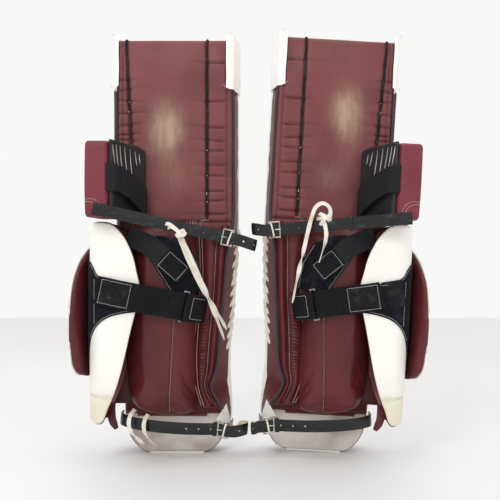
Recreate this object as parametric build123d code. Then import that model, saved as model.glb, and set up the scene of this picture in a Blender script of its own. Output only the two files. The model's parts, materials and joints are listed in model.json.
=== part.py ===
"""A pair of ice-hockey goalie leg pads, standing on their toes with the leg side towards -Y.

Each pad is drawn once in its own frame and placed twice, the second time mirrored. In the pad frame +X
points to the pad's lateral edge (the buckle side), -X to its medial edge (the knee block and calf wings),
+Z runs up the shin and the flat blocking face lies in the plane y = 0. "depth" is the distance behind
that face, towards the leg, so a point's y is minus its depth. All sizes are in millimetres.
"""
from build123d import *
import math
import os

# ---------------------------------------------------------------- driving dimensions
PAD_HEIGHT = 915.0          # floor to the top of the thigh rise
THIGH_BREAK_Z = 690.0       # hinge line between thigh rise and shin section
BOOT_BREAK_Z = 190.0        # hinge line between shin section and boot
KNEE_SEAM_Z = 516.0         # lower edge of the thick knee lining
FACE_HALF_WIDTH = 139.0     # half of the 278 mm (11 in) blocking face
BACK_INSET = 13.0           # each side wall leans in this much from face to back
COVER_DEPTH = 60.0          # face to back edge of the side walls
COVER_WALL = 3.0
BOARD_THICKNESS = 3.0
FIT_GAP = 0.3               # clearance between pieces that touch
BREAK_GAP = 1.0             # gap between neighbouring sections
KNEE_LINING = 10.0          # quilted thigh and knee lining
SHIN_LINING = 2.0           # bare lining below the knee
LATERAL_ROLL = 14.0         # extra thickness of the quilted lateral band
BOOT_REST_ANGLE = 12.0      # the boot is built bent forward by this much

CUSHION_LEFT, CUSHION_RIGHT = -96.0, 45.0
CUSHION_BOTTOM, CUSHION_TOP = 107.0, 505.0
CUSHION_CROWN = 112.0       # depth of the shin cushion's crown

STRAP_WIDTH = 25.0          # one-inch leather straps
STRAP_THICKNESS = 3.0
WEB_THICKNESS = 3.0         # elastic and neoprene straps
HOLE_RADIUS = 2.0
WIRE_RADIUS = 1.6           # buckle frames and strap slide
PRONG_RADIUS = 1.2
RUNNING_GAP = 0.08          # radial clearance of an eye on its bar
LACE_TUBE = 4.0             # round stand-in for the flat laces

RIGHT_PAD_X = -163.0        # where each pad's centreline meets the floor
LEFT_PAD_X = 142.0
LEFT_PAD_TILT = 3.3         # degrees that the left-leg pad leans away from its neighbour

KNEE_BACK = COVER_DEPTH + FIT_GAP + KNEE_LINING
SHIN_BACK = COVER_DEPTH + FIT_GAP + SHIN_LINING
ROLL_BACK = SHIN_BACK + LATERAL_ROLL
BOOT_BOTTOM = BOOT_BREAK_Z - (
    BOOT_BREAK_Z - COVER_DEPTH * math.sin(math.radians(BOOT_REST_ANGLE))
) / math.cos(math.radians(BOOT_REST_ANGLE))

# (height, half width of the blocking face, x of the lateral back edge)
PROFILE = [
    (BOOT_BOTTOM, 72, 59), (BOOT_BOTTOM + 12, 96, 83), (45, 114, 101), (113, 123, 100),
    (136, 122, 85), (161, 121, 76), (190, 120, 86), (261, 122, 95), (356, 131, 104),
    (463, 137, 114), (KNEE_SEAM_Z, FACE_HALF_WIDTH, 126), (PAD_HEIGHT, FACE_HALF_WIDTH, 126),
]


# ---------------------------------------------------------------- small builders
def outline_face(points, depth):
    """A face through (x, z) points, at one depth behind the blocking face."""
    return make_face(Polyline([(x, -depth, z) for x, z in points], close=True))


def slab(points, depth, back):
    """A prism of (x, z) outline from one depth to a deeper one."""
    return extrude(outline_face(points, depth), amount=back - depth, dir=(0, -1, 0))


def plan_prism(points, bottom, top):
    """A prism of (x, depth) outline from one height to another."""
    plan = make_face(Polyline([(x, -depth, bottom) for x, depth in points], close=True))
    return extrude(plan, amount=top - bottom, dir=(0, 0, 1))


def band(points, thickness, bottom, top):
    """A band that follows a smooth line through (x, depth) points, seen from above."""
    line = Spline([(x, -depth, bottom) for x, depth in points])
    steps = 3 * len(points)
    left, right = [], []
    for i in range(steps + 1):
        at, along = line @ (i / steps), (line % (i / steps)).normalized()
        side = Vector(-along.Y, along.X, 0) * (thickness / 2)
        left.append(at + side)
        right.append(at - side)
    right.reverse()
    edges = [Spline(left), Line(left[-1], right[0]), Spline(right), Line(right[-1], left[0])]
    return extrude(make_face(Wire(edges)), amount=top - bottom, dir=(0, 0, 1))


def rod(x, depth, low, high, radius):
    """An upright round bar."""
    return Pos(x, -depth, (low + high) / 2) * Cylinder(radius, high - low)


def sloped(shape, degrees, x, z):
    """Turned in the plane of the blocking face, so that its lateral end sinks."""
    return shape.rotate(Axis((x, 0, z), (0, 1, 0)), degrees)


def profile_at(z):
    """Half width of the face and x of the lateral back edge, at a height."""
    for (z0, face0, back0), (z1, face1, back1) in zip(PROFILE, PROFILE[1:]):
        if z <= z1:
            part = (z - z0) / (z1 - z0)
            return face0 + (face1 - face0) * part, back0 + (back1 - back0) * part
    return PROFILE[-1][1:]


def heights_between(low, high):
    """The profile's heights that lie inside a section, with the section's two ends."""
    return [low] + [z for z, _, _ in PROFILE if low + 1 < z < high - 1] + [high]


def section_outline(low, high, depth, wall):
    """(x, z) outline of the pad between two heights, at a depth, shrunk by a wall thickness."""
    share = depth / COVER_DEPTH
    lateral, medial = [], []
    for z in heights_between(low, high):
        face, back = profile_at(z)
        level = min(max(z, low + wall), high - wall)
        lateral.append((face + (back - face) * share - wall, level))
        medial.append((-(face - BACK_INSET * share) + wall, level))
    return lateral + medial[::-1]


def section_block(low, high, depth, back, wall):
    """The pad's solid between two heights and two depths, shrunk by a wall thickness."""
    ends = [outline_face(section_outline(low, high, d, wall), d) for d in (depth, back)]
    return loft(ends, ruled=True)


def cover(low, high):
    """A tray of front skin and side walls, open towards the leg."""
    outer = section_block(low, high, 0, COVER_DEPTH, 0)
    return outer - section_block(low, high, COVER_WALL, COVER_DEPTH + 1, COVER_WALL)


def core(low, high, back):
    """The foam slab that fills a cover."""
    return section_block(low, high, COVER_WALL + FIT_GAP, back, COVER_WALL + FIT_GAP)


# ---------------------------------------------------------------- thigh, shin and boot
SHIN_TOP = THIGH_BREAK_Z - BREAK_GAP
BOOT_TOP = BOOT_BREAK_Z - BREAK_GAP


def thigh_parts():
    lining = section_outline(THIGH_BREAK_Z, PAD_HEIGHT - 4, COVER_DEPTH, 1)
    return {
        "thigh_cover": cover(THIGH_BREAK_Z, PAD_HEIGHT),
        "thigh_core": core(THIGH_BREAK_Z, PAD_HEIGHT, COVER_DEPTH),
        "thigh_lining": slab(lining, COVER_DEPTH + FIT_GAP, KNEE_BACK),
    }


def leg_lining():
    """Knee lining, thin shin lining and the quilted band along the lateral edge, as one piece."""
    knee = slab(section_outline(KNEE_SEAM_Z - 4, SHIN_TOP, COVER_DEPTH, 1),
                COVER_DEPTH + FIT_GAP, KNEE_BACK)
    shin = slab(section_outline(BOOT_BREAK_Z, KNEE_SEAM_Z, COVER_DEPTH, 1),
                COVER_DEPTH + FIT_GAP, SHIN_BACK)
    inner, low, high = CUSHION_RIGHT + 5, CUSHION_BOTTOM + 3, CUSHION_TOP + 7
    edge = [(profile_at(z)[1] - 2, z) for z in heights_between(low, high)]
    roll = slab([(inner, high), (inner + 2, 150), (inner + 14, low)] + edge,
                COVER_DEPTH + FIT_GAP + 1, ROLL_BACK)
    return knee + shin + roll


def shin_cushion():
    """The thick padded panel that the shin rests on; its lower end overhangs the boot."""
    base = [(CUSHION_LEFT, CUSHION_TOP), (CUSHION_RIGHT, CUSHION_TOP), (CUSHION_RIGHT, 150),
            (CUSHION_RIGHT - 10, CUSHION_BOTTOM + 5), (-38, CUSHION_BOTTOM),
            (CUSHION_LEFT + 14, CUSHION_BOTTOM + 16), (CUSHION_LEFT, 168)]
    middle_x, middle_z = -7.0, 306.0
    crown = [(middle_x + 0.72 * (x - middle_x), middle_z + 0.97 * (z - middle_z)) for x, z in base]
    front, shoulder = SHIN_BACK + FIT_GAP, SHIN_BACK + 18
    sides = slab(base, front, shoulder)
    return sides + loft([outline_face(base, shoulder), outline_face(crown, CUSHION_CROWN)],
                        ruled=True)


def shin_parts():
    board_front = COVER_DEPTH - BOARD_THICKNESS
    board = slab(section_outline(BOOT_BREAK_Z + 15, SHIN_TOP - 15, COVER_DEPTH, 14),
                 board_front, COVER_DEPTH)
    return {
        "shin_cover": cover(BOOT_BREAK_Z, SHIN_TOP),
        "shin_core": core(BOOT_BREAK_Z, SHIN_TOP, board_front - FIT_GAP),
        "shin_board": board,
        "leg_lining": leg_lining(),
        "shin_cushion": shin_cushion(),
    }


BOOT_HINGE = Axis((0, 0, BOOT_BREAK_Z), (1, 0, 0))


def boot_parts():
    return {
        "boot_cover": cover(BOOT_BOTTOM, BOOT_TOP).rotate(BOOT_HINGE, BOOT_REST_ANGLE),
        "boot_core": core(BOOT_BOTTOM, BOOT_TOP, COVER_DEPTH).rotate(BOOT_HINGE, BOOT_REST_ANGLE),
    }


# ---------------------------------------------------------------- knee block
BLOCK_BOTTOM, BLOCK_TOP = 521.0, 675.0
BLOCK_FRONT, BLOCK_REAR = KNEE_BACK + 0.5, 186.0
BLOCK_SIDE = -168.0
CRADLE_THICKNESS = 10.0
CRADLE_X = (-62.0, -112.0)          # x of the cradle's knee face, at the block's front and rear
CRADLE_RUN = math.hypot(CRADLE_X[0] - CRADLE_X[1], BLOCK_REAR - BLOCK_FRONT)


def cradle_face_x(depth, inwards):
    """x of the slanted plane that lies a distance inside the cradle's knee face."""
    lean = (CRADLE_X[1] - CRADLE_X[0]) / (BLOCK_REAR - BLOCK_FRONT)
    return CRADLE_X[0] + lean * (depth - BLOCK_FRONT) - inwards * math.hypot(1, lean)


def block_outline(shrink):
    """(x, depth) outline of the knee block, shrunk everywhere but at its open front."""
    behind = CRADLE_THICKNESS + FIT_GAP + shrink
    rear = BLOCK_REAR - shrink
    side = BLOCK_SIDE + shrink
    return [(side + 18, BLOCK_FRONT), (cradle_face_x(BLOCK_FRONT, behind), BLOCK_FRONT),
            (cradle_face_x(rear, behind), rear), (side + 9, rear), (side, rear - 9),
            (side, BLOCK_FRONT + 32)]


def knee_block_parts():
    gap = COVER_WALL + FIT_GAP
    hollow = plan_prism(block_outline(COVER_WALL), BLOCK_BOTTOM + COVER_WALL, BLOCK_TOP - COVER_WALL)
    cradle = plan_prism([(cradle_face_x(BLOCK_FRONT, 0), BLOCK_FRONT),
                         (cradle_face_x(BLOCK_REAR, 0), BLOCK_REAR),
                         (cradle_face_x(BLOCK_REAR, CRADLE_THICKNESS), BLOCK_REAR),
                         (cradle_face_x(BLOCK_FRONT, CRADLE_THICKNESS), BLOCK_FRONT)],
                        BLOCK_BOTTOM, BLOCK_TOP)
    elastic = band([(-126, BLOCK_REAR + 2.5), (-105, BLOCK_REAR + 2), (-86, 156), (-64, 106),
                    (-51, 84)], WEB_THICKNESS, 569, 621)
    return {
        "knee_block_cover": plan_prism(block_outline(0), BLOCK_BOTTOM, BLOCK_TOP) - hollow,
        "knee_block_core": plan_prism(block_outline(gap), BLOCK_BOTTOM + gap, BLOCK_TOP - gap),
        "knee_cradle": cradle,
        "knee_band": sloped(elastic, 12, -90, 595),
    }


# ---------------------------------------------------------------- calf wings and calf straps
WING_THICKNESS = 11.0
WING_LINE = [(-102, 68.4), (-134, 75), (-160, 96), (-166, 124), (-148, 142), (-110, 146),
             (-66, 139)]
WING_OUTLINE = [(-210, 150), (-178, 112), (-160, 96), (-142, 99), (-128, 130), (-79, 304),
                (-69, 350), (-62, 390), (-62, 424), (-78, 458), (-104, 490), (-122, 509),
                (-152, 512), (-210, 512)]
FLAP_THICKNESS = 10.0
FLAP_AXIS = (-134.5, 50.0)          # x and depth of the calf flap's hinge line
FLAP_LINE = [(-136, 51.5), (-164, 74), (-186, 106), (-198, 142)]
FLAP_OUTLINE = [(-100, 200), (-150, 180), (-184, 168), (-202, 190), (-214, 250), (-214, 330),
                (-200, 410), (-180, 458), (-150, 482), (-100, 482)]
CALF_STRAP_WIDTH = 58.0
CALF_STRAP_SLOPE = 12.0
CALF_STRAP_Z = 348.0                # height of its middle, half way between its two ends
CALF_STRAP_X = -30.0
SLIDE_X = (22.0, 32.0)              # the slide's two bars
SLIDE_DEPTH = 123.5
EYE_OUTER = 4.0                     # web sewn round a slide bar


def trimmed(shell, outline):
    """A curved shell cut to an (x, z) outline."""
    return shell & slab(outline, 20, 230)


def wire_ring(x_range, depth, low, high):
    """A rectangular ring of round wire, upright in the plane of one depth."""
    bars = [rod(x, depth, low, high, WIRE_RADIUS) for x in x_range]
    span = x_range[1] - x_range[0]
    middle = sum(x_range) / 2
    for z in (low, high):
        bars.append(Pos(middle, -depth, z) * Rot(0, 90, 0) * Cylinder(WIRE_RADIUS, span))
        bars += [Pos(x, -depth, z) * Sphere(WIRE_RADIUS) for x in x_range]
    ring = bars[0]
    for bar in bars[1:]:
        ring += bar
    return ring


def strap_sleeve(x, depth, low, high, outer):
    """Web or leather sewn round an upright bar, with room for the bar to turn."""
    tube = rod(x, depth, low, high, outer)
    return tube, rod(x, depth, low - 1, high + 1, WIRE_RADIUS + RUNNING_GAP)


def calf_strap_parts():
    low, high = CALF_STRAP_Z - CALF_STRAP_WIDTH / 2, CALF_STRAP_Z + CALF_STRAP_WIDTH / 2
    slide = wire_ring(SLIDE_X, SLIDE_DEPTH, low - 3, high + 3)
    loose = band([(-152, 156), (-124, 157), (-88, 155), (-54, 144), (-18, 130),
                  (SLIDE_X[0] - 3, SLIDE_DEPTH)], WEB_THICKNESS, low, high)
    fixed = band([(SLIDE_X[1] + 3, SLIDE_DEPTH), (52, 116), (66, 100), (71, 82)],
                 WEB_THICKNESS, low, high)
    sleeve, bore = strap_sleeve(SLIDE_X[0], SLIDE_DEPTH, low, high, EYE_OUTER)
    loose = loose + sleeve - bore
    sleeve, bore = strap_sleeve(SLIDE_X[1], SLIDE_DEPTH, low, high, EYE_OUTER)
    fixed = fixed + sleeve - bore
    parts = {"calf_strap": loose, "strap_slide": slide, "tab": fixed}
    return {name: sloped(shape, CALF_STRAP_SLOPE, CALF_STRAP_X, CALF_STRAP_Z)
            for name, shape in parts.items()}


def calf_parts():
    straps = calf_strap_parts()
    panel_back = CUSHION_CROWN + 2.5
    panel = slab([(-46, 478), (-29, 484), (35, 464), (56, 423), (65, 366), (-3, 366), (-50, 440)],
                 panel_back, panel_back + WEB_THICKNESS)
    tie_back = panel_back + WEB_THICKNESS + 1
    upper = slab([(-60, 488), (-18, 478), (42, 417), (6, 386), (-35, 436), (-60, 450)],
                 tie_back, tie_back + WEB_THICKNESS)
    return {
        "calf_wing": trimmed(band(WING_LINE, WING_THICKNESS, 90, 514), WING_OUTLINE),
        "calf_flap": trimmed(band(FLAP_LINE, FLAP_THICKNESS, 160, 490), FLAP_OUTLINE),
        "wrap_panel": Compound([panel.solid(), straps.pop("tab").solid()]),
        "upper_calf_strap": upper,
        **straps,
    }


# ---------------------------------------------------------------- leather straps and buckles
BUCKLE_LENGTH = 22.0
BUCKLE_HALF_HEIGHT = 16.5
CHAPE_OUTER = 3.0
PRONG_EYE_OUTER = 2.9
PRONG_EYE_HEIGHT = 7.0
PRONG_LIFT = 3.0                    # how far the prong's tip stands above the frame's plane
SLOT = (-17.5, -1.0)                # slot in the strap for the prong, from the heel bar


class LeatherStrap:
    """One leather strap with its buckle, prong and chape, laid out level and then sloped."""

    def __init__(self, z, slope, heel_x, depth, run, tail, tail_rise, chape, run_holes, tail_holes):
        self.z, self.slope, self.heel_x, self.depth = z, slope, heel_x, depth
        self.run, self.tail, self.tail_rise = run, tail, tail_rise
        self.chape_line, self.run_holes, self.tail_holes = chape, run_holes, tail_holes
        self.end_x = heel_x - BUCKLE_LENGTH

    def strap(self):
        """Leather under the frame's end bar and over its heel bar, then a curled tail."""
        low, high = self.z - STRAP_WIDTH / 2, self.z + STRAP_WIDTH / 2
        over = (self.heel_x, self.depth + CHAPE_OUTER + 0.4 + STRAP_THICKNESS / 2)
        under = (self.end_x, self.depth - WIRE_RADIUS - FIT_GAP - STRAP_THICKNESS / 2)
        run = band(self.run + [under, over, self.tail[0]], STRAP_THICKNESS, low, high)
        tail = band(self.tail, STRAP_THICKNESS, low, high)
        middle = (self.heel_x + SLOT[0] + self.heel_x + SLOT[1]) / 2
        run -= Pos(middle, -self.depth, self.z) * Box(SLOT[1] - SLOT[0], 20, 2 * PRONG_RADIUS + 1.2)
        run = self.punched(run, self.run_holes)
        tail = self.punched(tail, self.tail_holes)
        start_x = self.tail[0][0]
        return run + tail.rotate(Axis((start_x, 0, self.z), (0, 1, 0)), -self.tail_rise)

    def punched(self, leather, holes):
        """Round holes at (x, depth) places along the leather."""
        for x, depth in holes:
            leather -= Pos(x, -depth, self.z) * Rot(90, 0, 0) * Cylinder(HOLE_RADIUS, 14)
        return leather

    def buckle(self):
        return wire_ring((self.end_x, self.heel_x), self.depth, self.z - BUCKLE_HALF_HEIGHT,
                         self.z + BUCKLE_HALF_HEIGHT)

    def prong(self):
        """An eye round the heel bar and a pin that rests on the end bar."""
        half = PRONG_EYE_HEIGHT / 2
        eye = rod(self.heel_x, self.depth, self.z - half, self.z + half, PRONG_EYE_OUTER)
        tip = (self.end_x - 1.5, -(self.depth + PRONG_LIFT), self.z)
        root = (self.heel_x - 2, -self.depth, self.z)
        pin = Solid.extrude(Plane(root, z_dir=Vector(*tip) - Vector(*root)) * Face(
            Wire(Edge.make_circle(PRONG_RADIUS))), Vector(*tip) - Vector(*root))
        shape = eye + pin + Pos(*tip) * Sphere(PRONG_RADIUS)
        return shape - rod(self.heel_x, self.depth, self.z - 5, self.z + 5,
                           WIRE_RADIUS + RUNNING_GAP)

    def chape(self):
        """The short leather loop that ties the heel bar to the pad."""
        half = STRAP_WIDTH / 2 - 1.5
        sleeve, bore = strap_sleeve(self.heel_x, self.depth, self.z - half, self.z + half, CHAPE_OUTER)
        tongue = band(self.chape_line + [(self.heel_x + 1.2, self.depth - 2)], 2.4, self.z - half,
                      self.z + half)
        notch = Pos(self.heel_x - 1, -self.depth, self.z) * Box(12, 14, PRONG_EYE_HEIGHT + 1)
        return tongue + sleeve - bore - notch

    def parts(self, prefix):
        made = {"strap": self.strap(), "buckle": self.buckle(), "prong": self.prong(),
                "chape": self.chape()}
        return {f"{prefix}_{name}": sloped(shape, self.slope, 0, self.z)
                for name, shape in made.items()}

    def prong_axis(self):
        """A point on the heel bar's axis and the axis direction, in the pad frame."""
        angle = math.radians(self.slope)
        point = (self.heel_x * math.cos(angle), -self.depth,
                 self.z - self.heel_x * math.sin(angle))
        return point, (math.sin(angle), 0, math.cos(angle))


KNEE_RUN = [(-153, 189.4), (-128, 190), (-107, 187.5), (-82, 172), (-50, 152), (0, 129), (40, 118),
            (70, 101), (92, 90.5)]
BOOT_RUN = [(-113, 62), (-112, 88), (-88, 110), (-40, 124), (20, 124), (66, 114)]
KNEE_CHAPE = [(136.5, 34), (133, 52), (131.2, 72)]
BOOT_CHAPE = [(125.5, 46), (122, 74), (118.6, 98)]
STRAPS = {
    "right": {
        "knee": LeatherStrap(506, 12, 129, 92, KNEE_RUN,
                             [(142, 97.5), (162, 97), (180, 86), (178, 72), (160, 67)], -6,
                             KNEE_CHAPE, [(88, 91), (63, 100), (38, 109)], [(164, 96)]),
        "boot": LeatherStrap(84, 5, 118, 110, BOOT_RUN,
                             [(130, 113), (146, 108), (158, 96), (154, 82), (138, 78)], 10,
                             BOOT_CHAPE, [(80, 110), (55, 117), (30, 123)], [(147, 107)]),
    },
    "left": {
        "knee": LeatherStrap(504.5, 7.5, 129, 92, KNEE_RUN,
                             [(142, 97.5), (156, 96), (166, 84), (158, 72), (144, 72)], 14,
                             KNEE_CHAPE, [(88, 91), (63, 100), (38, 109)], [(156, 95)]),
        "boot": LeatherStrap(84, 5, 118, 110, BOOT_RUN,
                             [(129, 115.5), (137, 120.5), (143, 117), (141, 109), (133, 106)], -12,
                             BOOT_CHAPE, [(80, 110), (55, 117), (30, 123)], [(138, 120)]),
    },
}

# ---------------------------------------------------------------- laces
# (x, depth, z) points in the pad frame, from where each strand leaves the strap or lining
LACES = {
    "right": {
        "knee_lace": [
            [(18, 129, 489), (26, 131, 470), (40, 129, 440), (53, 126, 410), (65, 121, 382),
             (78, 114, 353), (92, 101, 324), (106, 89, 300), (113, 83, 284)],
            [(14, 129, 487), (22, 131, 466), (35, 130, 434), (50, 128, 402), (64, 120, 372),
             (80, 111, 342), (91, 97, 312), (101, 86, 284), (108, 80, 261)],
        ],
        "toe_lace": [
            [(-81, 102, 116), (-86, 120, 112), (-90, 127, 98), (-88, 127, 80), (-76, 122, 64),
             (-60, 113, 46)],
            [(-52, 108, 107), (-54, 126, 106), (-57, 136, 94), (-56, 135, 76), (-46, 127, 58),
             (-33, 117, 44)],
        ],
    },
    "left": {
        "knee_lace": [
            [(6, 128, 519), (3, 131, 531), (9, 133, 544), (24, 134, 550), (37, 133, 540),
             (43, 132, 520), (48, 131, 494), (53, 129, 462), (59, 126, 428), (64, 123, 395),
             (69, 121, 362), (72, 118, 337)],
            [(20, 128, 520), (15, 131, 506), (10, 132, 486), (12, 131, 464), (18, 130, 443),
             (22, 129, 425)],
        ],
    },
}


def lace_tube(points, label):
    """A round tube along straight runs joined by the largest arcs that they allow."""
    path_points = [Vector(x, -depth, z) for x, depth, z in points]
    radii = []
    for before, here, after in zip(path_points, path_points[1:], path_points[2:]):
        turn = math.radians((here - before).get_angle(after - here))
        shorter = min((here - before).length, (after - here).length)
        radii.append(0.45 * shorter / math.tan(turn / 2))
    path = FilletPolyline(*path_points, radius=radii)
    length = path.length
    ring = Plane(origin=path @ 0, z_dir=path % 0) * Circle(LACE_TUBE / 2)
    tube = sweep(ring, path=path)
    expected = math.pi * LACE_TUBE ** 2 / 4 * length
    print(f"{label}: length {length:.1f}, smallest arc {min(radii):.1f}, "
          f"volume {tube.volume / expected:.4f} of section times length")
    return tube.solid()


def lace_parts(side):
    """Each lace node holds its two strands."""
    return {name: Compound([lace_tube(points, f"{name}_{side}") for points in strands])
            for name, strands in LACES[side].items()}


# ---------------------------------------------------------------- the pair
def pad_parts(side):
    """Every piece of one pad in the pad frame."""
    parts = {**thigh_parts(), **shin_parts(), **boot_parts(), **knee_block_parts(), **calf_parts()}
    for prefix, strap in STRAPS[side].items():
        parts.update(strap.parts(prefix))
    parts.update(lace_parts(side))
    return parts


def placed(shape, side):
    """A shape moved from the pad frame to its place beside the other pad."""
    if side == "right":
        return Pos(RIGHT_PAD_X, 0, 0) * shape
    turned = mirror(shape, about=Plane.YZ).rotate(Axis.Y, LEFT_PAD_TILT)
    return Pos(LEFT_PAD_X, 0, 0) * turned


def joint_lines(side):
    """Point and axis of each of a pad's hinges, in the pad frame."""
    angle = math.radians(CALF_STRAP_SLOPE)
    reach = SLIDE_X[0] - CALF_STRAP_X
    slide_point = (CALF_STRAP_X + reach * math.cos(angle), -SLIDE_DEPTH,
                   CALF_STRAP_Z - reach * math.sin(angle))
    return {
        "thigh_flex": ((0, -(KNEE_BACK + 3), THIGH_BREAK_Z), (1, 0, 0)),
        "boot_flex": ((0, 0, BOOT_BREAK_Z), (1, 0, 0)),
        "calf_flap": ((FLAP_AXIS[0], -FLAP_AXIS[1], 330), (0, 0, -1)),
        "calf_strap": (slide_point, (math.sin(angle), 0, math.cos(angle))),
        "knee_prong": STRAPS[side]["knee"].prong_axis(),
        "boot_prong": STRAPS[side]["boot"].prong_axis(),
    }


def build_pair():
    """All pieces of both pads, named by side, with the pair's bottom centre at the origin."""
    pieces = {}
    for side in STRAPS:
        made = {name: placed(shape, side) for name, shape in pad_parts(side).items()}
        lift = -min(shape.bounding_box().min.Z for shape in made.values())
        print(f"{side} pad lifted by {lift:.3f}")
        pieces.update({f"{name}_{side}": Pos(0, 0, lift) * shape for name, shape in made.items()})
    boxes = [shape.bounding_box() for name, shape in pieces.items() if "lace" not in name]
    centre_x = (min(b.min.X for b in boxes) + max(b.max.X for b in boxes)) / 2
    centre_y = (min(b.min.Y for b in boxes) + max(b.max.Y for b in boxes)) / 2
    print(f"pair moved by x {-centre_x:.3f}, y {-centre_y:.3f}")
    return {name: Pos(-centre_x, -centre_y, 0) * shape for name, shape in pieces.items()}


PIECES = build_pair()
os.makedirs("parts", exist_ok=True)
for piece_name, piece in PIECES.items():
    export_step(piece, f"parts/{piece_name}.step")
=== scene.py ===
"""Finish meshes and materials for a pair of ice-hockey goalie leg pads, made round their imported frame.

Each pad is drawn in its own frame, in millimetres: x points to the lateral edge (the buckle side), z runs up
the shin, and "depth" is the distance behind the flat blocking face, towards the leg. PadPlace turns that
frame into the row frame, mirrored for the left leg. Every sub-assembly is a class that holds its sizes,
builds its meshes and dresses them, and every finish is a frozen dataclass that builds its own material.
"""
from __future__ import annotations

import json
import logging
import math
from collections.abc import Callable, Sequence
from dataclasses import dataclass, field
from enum import Enum

import bmesh
import bpy
import numpy as np
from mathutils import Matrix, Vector
from mathutils.bvhtree import BVHTree

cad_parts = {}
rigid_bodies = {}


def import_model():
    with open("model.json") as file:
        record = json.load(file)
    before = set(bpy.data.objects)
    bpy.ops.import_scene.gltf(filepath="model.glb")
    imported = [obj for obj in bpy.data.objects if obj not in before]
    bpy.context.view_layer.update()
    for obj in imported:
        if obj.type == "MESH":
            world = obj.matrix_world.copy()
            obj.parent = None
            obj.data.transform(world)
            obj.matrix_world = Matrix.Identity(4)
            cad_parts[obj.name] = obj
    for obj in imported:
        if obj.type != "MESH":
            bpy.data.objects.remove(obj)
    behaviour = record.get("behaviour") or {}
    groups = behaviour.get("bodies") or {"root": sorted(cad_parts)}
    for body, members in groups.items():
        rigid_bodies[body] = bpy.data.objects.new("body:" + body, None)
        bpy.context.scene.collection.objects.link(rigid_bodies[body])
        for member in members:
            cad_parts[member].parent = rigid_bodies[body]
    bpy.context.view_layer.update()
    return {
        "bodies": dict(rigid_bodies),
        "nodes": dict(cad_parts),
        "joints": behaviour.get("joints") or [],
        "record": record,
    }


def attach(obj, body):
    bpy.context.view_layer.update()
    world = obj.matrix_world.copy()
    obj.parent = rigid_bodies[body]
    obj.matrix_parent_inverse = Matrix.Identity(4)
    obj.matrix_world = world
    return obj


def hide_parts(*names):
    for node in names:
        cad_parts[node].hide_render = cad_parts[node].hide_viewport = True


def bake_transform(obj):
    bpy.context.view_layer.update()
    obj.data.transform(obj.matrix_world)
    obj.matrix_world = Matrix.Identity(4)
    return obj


log = logging.getLogger("leg_pads")

MM = 0.001
SEED = 7
Colour = tuple[float, float, float]
Pairs = Sequence[tuple[float, float]]
Route = Sequence[tuple[float, float, float]]

# ------------------------------------------------------------------ sizes shared by the sub-assemblies
PAD_TOP = 915.0
THIGH_BREAK_Z = 690.0
BOOT_BREAK_Z = 190.0
KNEE_SEAM_Z = 516.0
BAND_BOTTOM_Z = 493.0
COVER_DEPTH = 60.0
KNEE_BACK = 70.3
SHIN_BACK = 62.3
THIGH_HINGE_DEPTH = KNEE_BACK + 3.0
BOOT_REST_ANGLE = 12.0
BOOT_BOTTOM = 8.5
BACK_INSET = 13.0

# (height, half width of the blocking face, x of the lateral back edge)
PROFILE = [(BOOT_BOTTOM, 72, 59), (20.5, 96, 83), (45, 114, 101), (113, 123, 100), (136, 122, 85),
           (161, 121, 76), (190, 120, 86), (261, 122, 95), (356, 131, 104), (463, 137, 114),
           (KNEE_SEAM_Z, 139, 125), (532, 139, 126), (600, 139, 126), (PAD_TOP, 139, 126)]


def srgb(red: int, green: int, blue: int) -> Colour:
    """A linear colour from 8-bit screen values."""
    return tuple(((c / 255 + 0.055) / 1.055) ** 2.4 if c > 10 else c / 3294 for c in (red, green, blue))


# ------------------------------------------------------------------ lines and tables
def line_through(knots: Sequence[Sequence[float]], step: float = 2.0) -> np.ndarray:
    """A smooth line through knots, with points evenly spaced along it.

    Args:
        knots: The points that the line passes through.
        step: The distance between the points of the result.

    Returns:
        An array with one point per row.
    """
    given = np.asarray(knots, float)
    at = np.concatenate([[0], np.cumsum(np.linalg.norm(np.diff(given, axis=0), axis=1))])
    slope = np.gradient(given, at, axis=0)
    fine = np.linspace(0, at[-1], max(9, int(2 * at[-1] / step) + 1))
    i = np.clip(np.searchsorted(at, fine, side="right") - 1, 0, len(at) - 2)
    run = (at[i + 1] - at[i])[:, None]
    t = (fine - at[i])[:, None] / run
    line = (given[i] * (2 * t ** 3 - 3 * t ** 2 + 1) + slope[i] * run * (t ** 3 - 2 * t ** 2 + t)
            + given[i + 1] * (3 * t ** 2 - 2 * t ** 3) + slope[i + 1] * run * (t ** 3 - t ** 2))
    return evenly(line, step)


def evenly(line: np.ndarray, step: float) -> np.ndarray:
    """The same line with points about one step apart."""
    at = np.concatenate([[0], np.cumsum(np.linalg.norm(np.diff(line, axis=0), axis=1))])
    even = np.linspace(0, at[-1], max(3, int(round(at[-1] / step)) + 1))
    return np.stack([np.interp(even, at, line[:, k]) for k in range(line.shape[1])], axis=1)


def smooth_table(pairs: Pairs) -> Callable[[np.ndarray], np.ndarray]:
    """A smooth function through (input, value) pairs, whose inputs all rise or all fall."""
    line = line_through(pairs, 1.0)
    line = line if line[-1, 0] > line[0, 0] else line[::-1]
    return lambda at: np.interp(at, line[:, 0], line[:, 1])


def plain_table(pairs: Pairs) -> Callable[[np.ndarray], np.ndarray]:
    """A function with straight runs between (input, value) pairs."""
    table = np.asarray(sorted(pairs), float)
    return lambda at: np.interp(at, table[:, 0], table[:, 1])


FACE_HALF = smooth_table([(z, face) for z, face, _ in PROFILE])
LATERAL_BACK = smooth_table([(z, back) for z, _, back in PROFILE])


def rounded(distance: np.ndarray, radius: float) -> np.ndarray:
    """Share of the full thickness at a distance from an edge that is rounded to a radius."""
    return np.sqrt(1 - (1 - np.clip(distance / radius, 0, 1)) ** 2)


def smoothstep(share: np.ndarray) -> np.ndarray:
    """0 below 0, 1 above 1, and a soft step between."""
    t = np.clip(share, 0, 1)
    return t * t * (3 - 2 * t)


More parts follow.
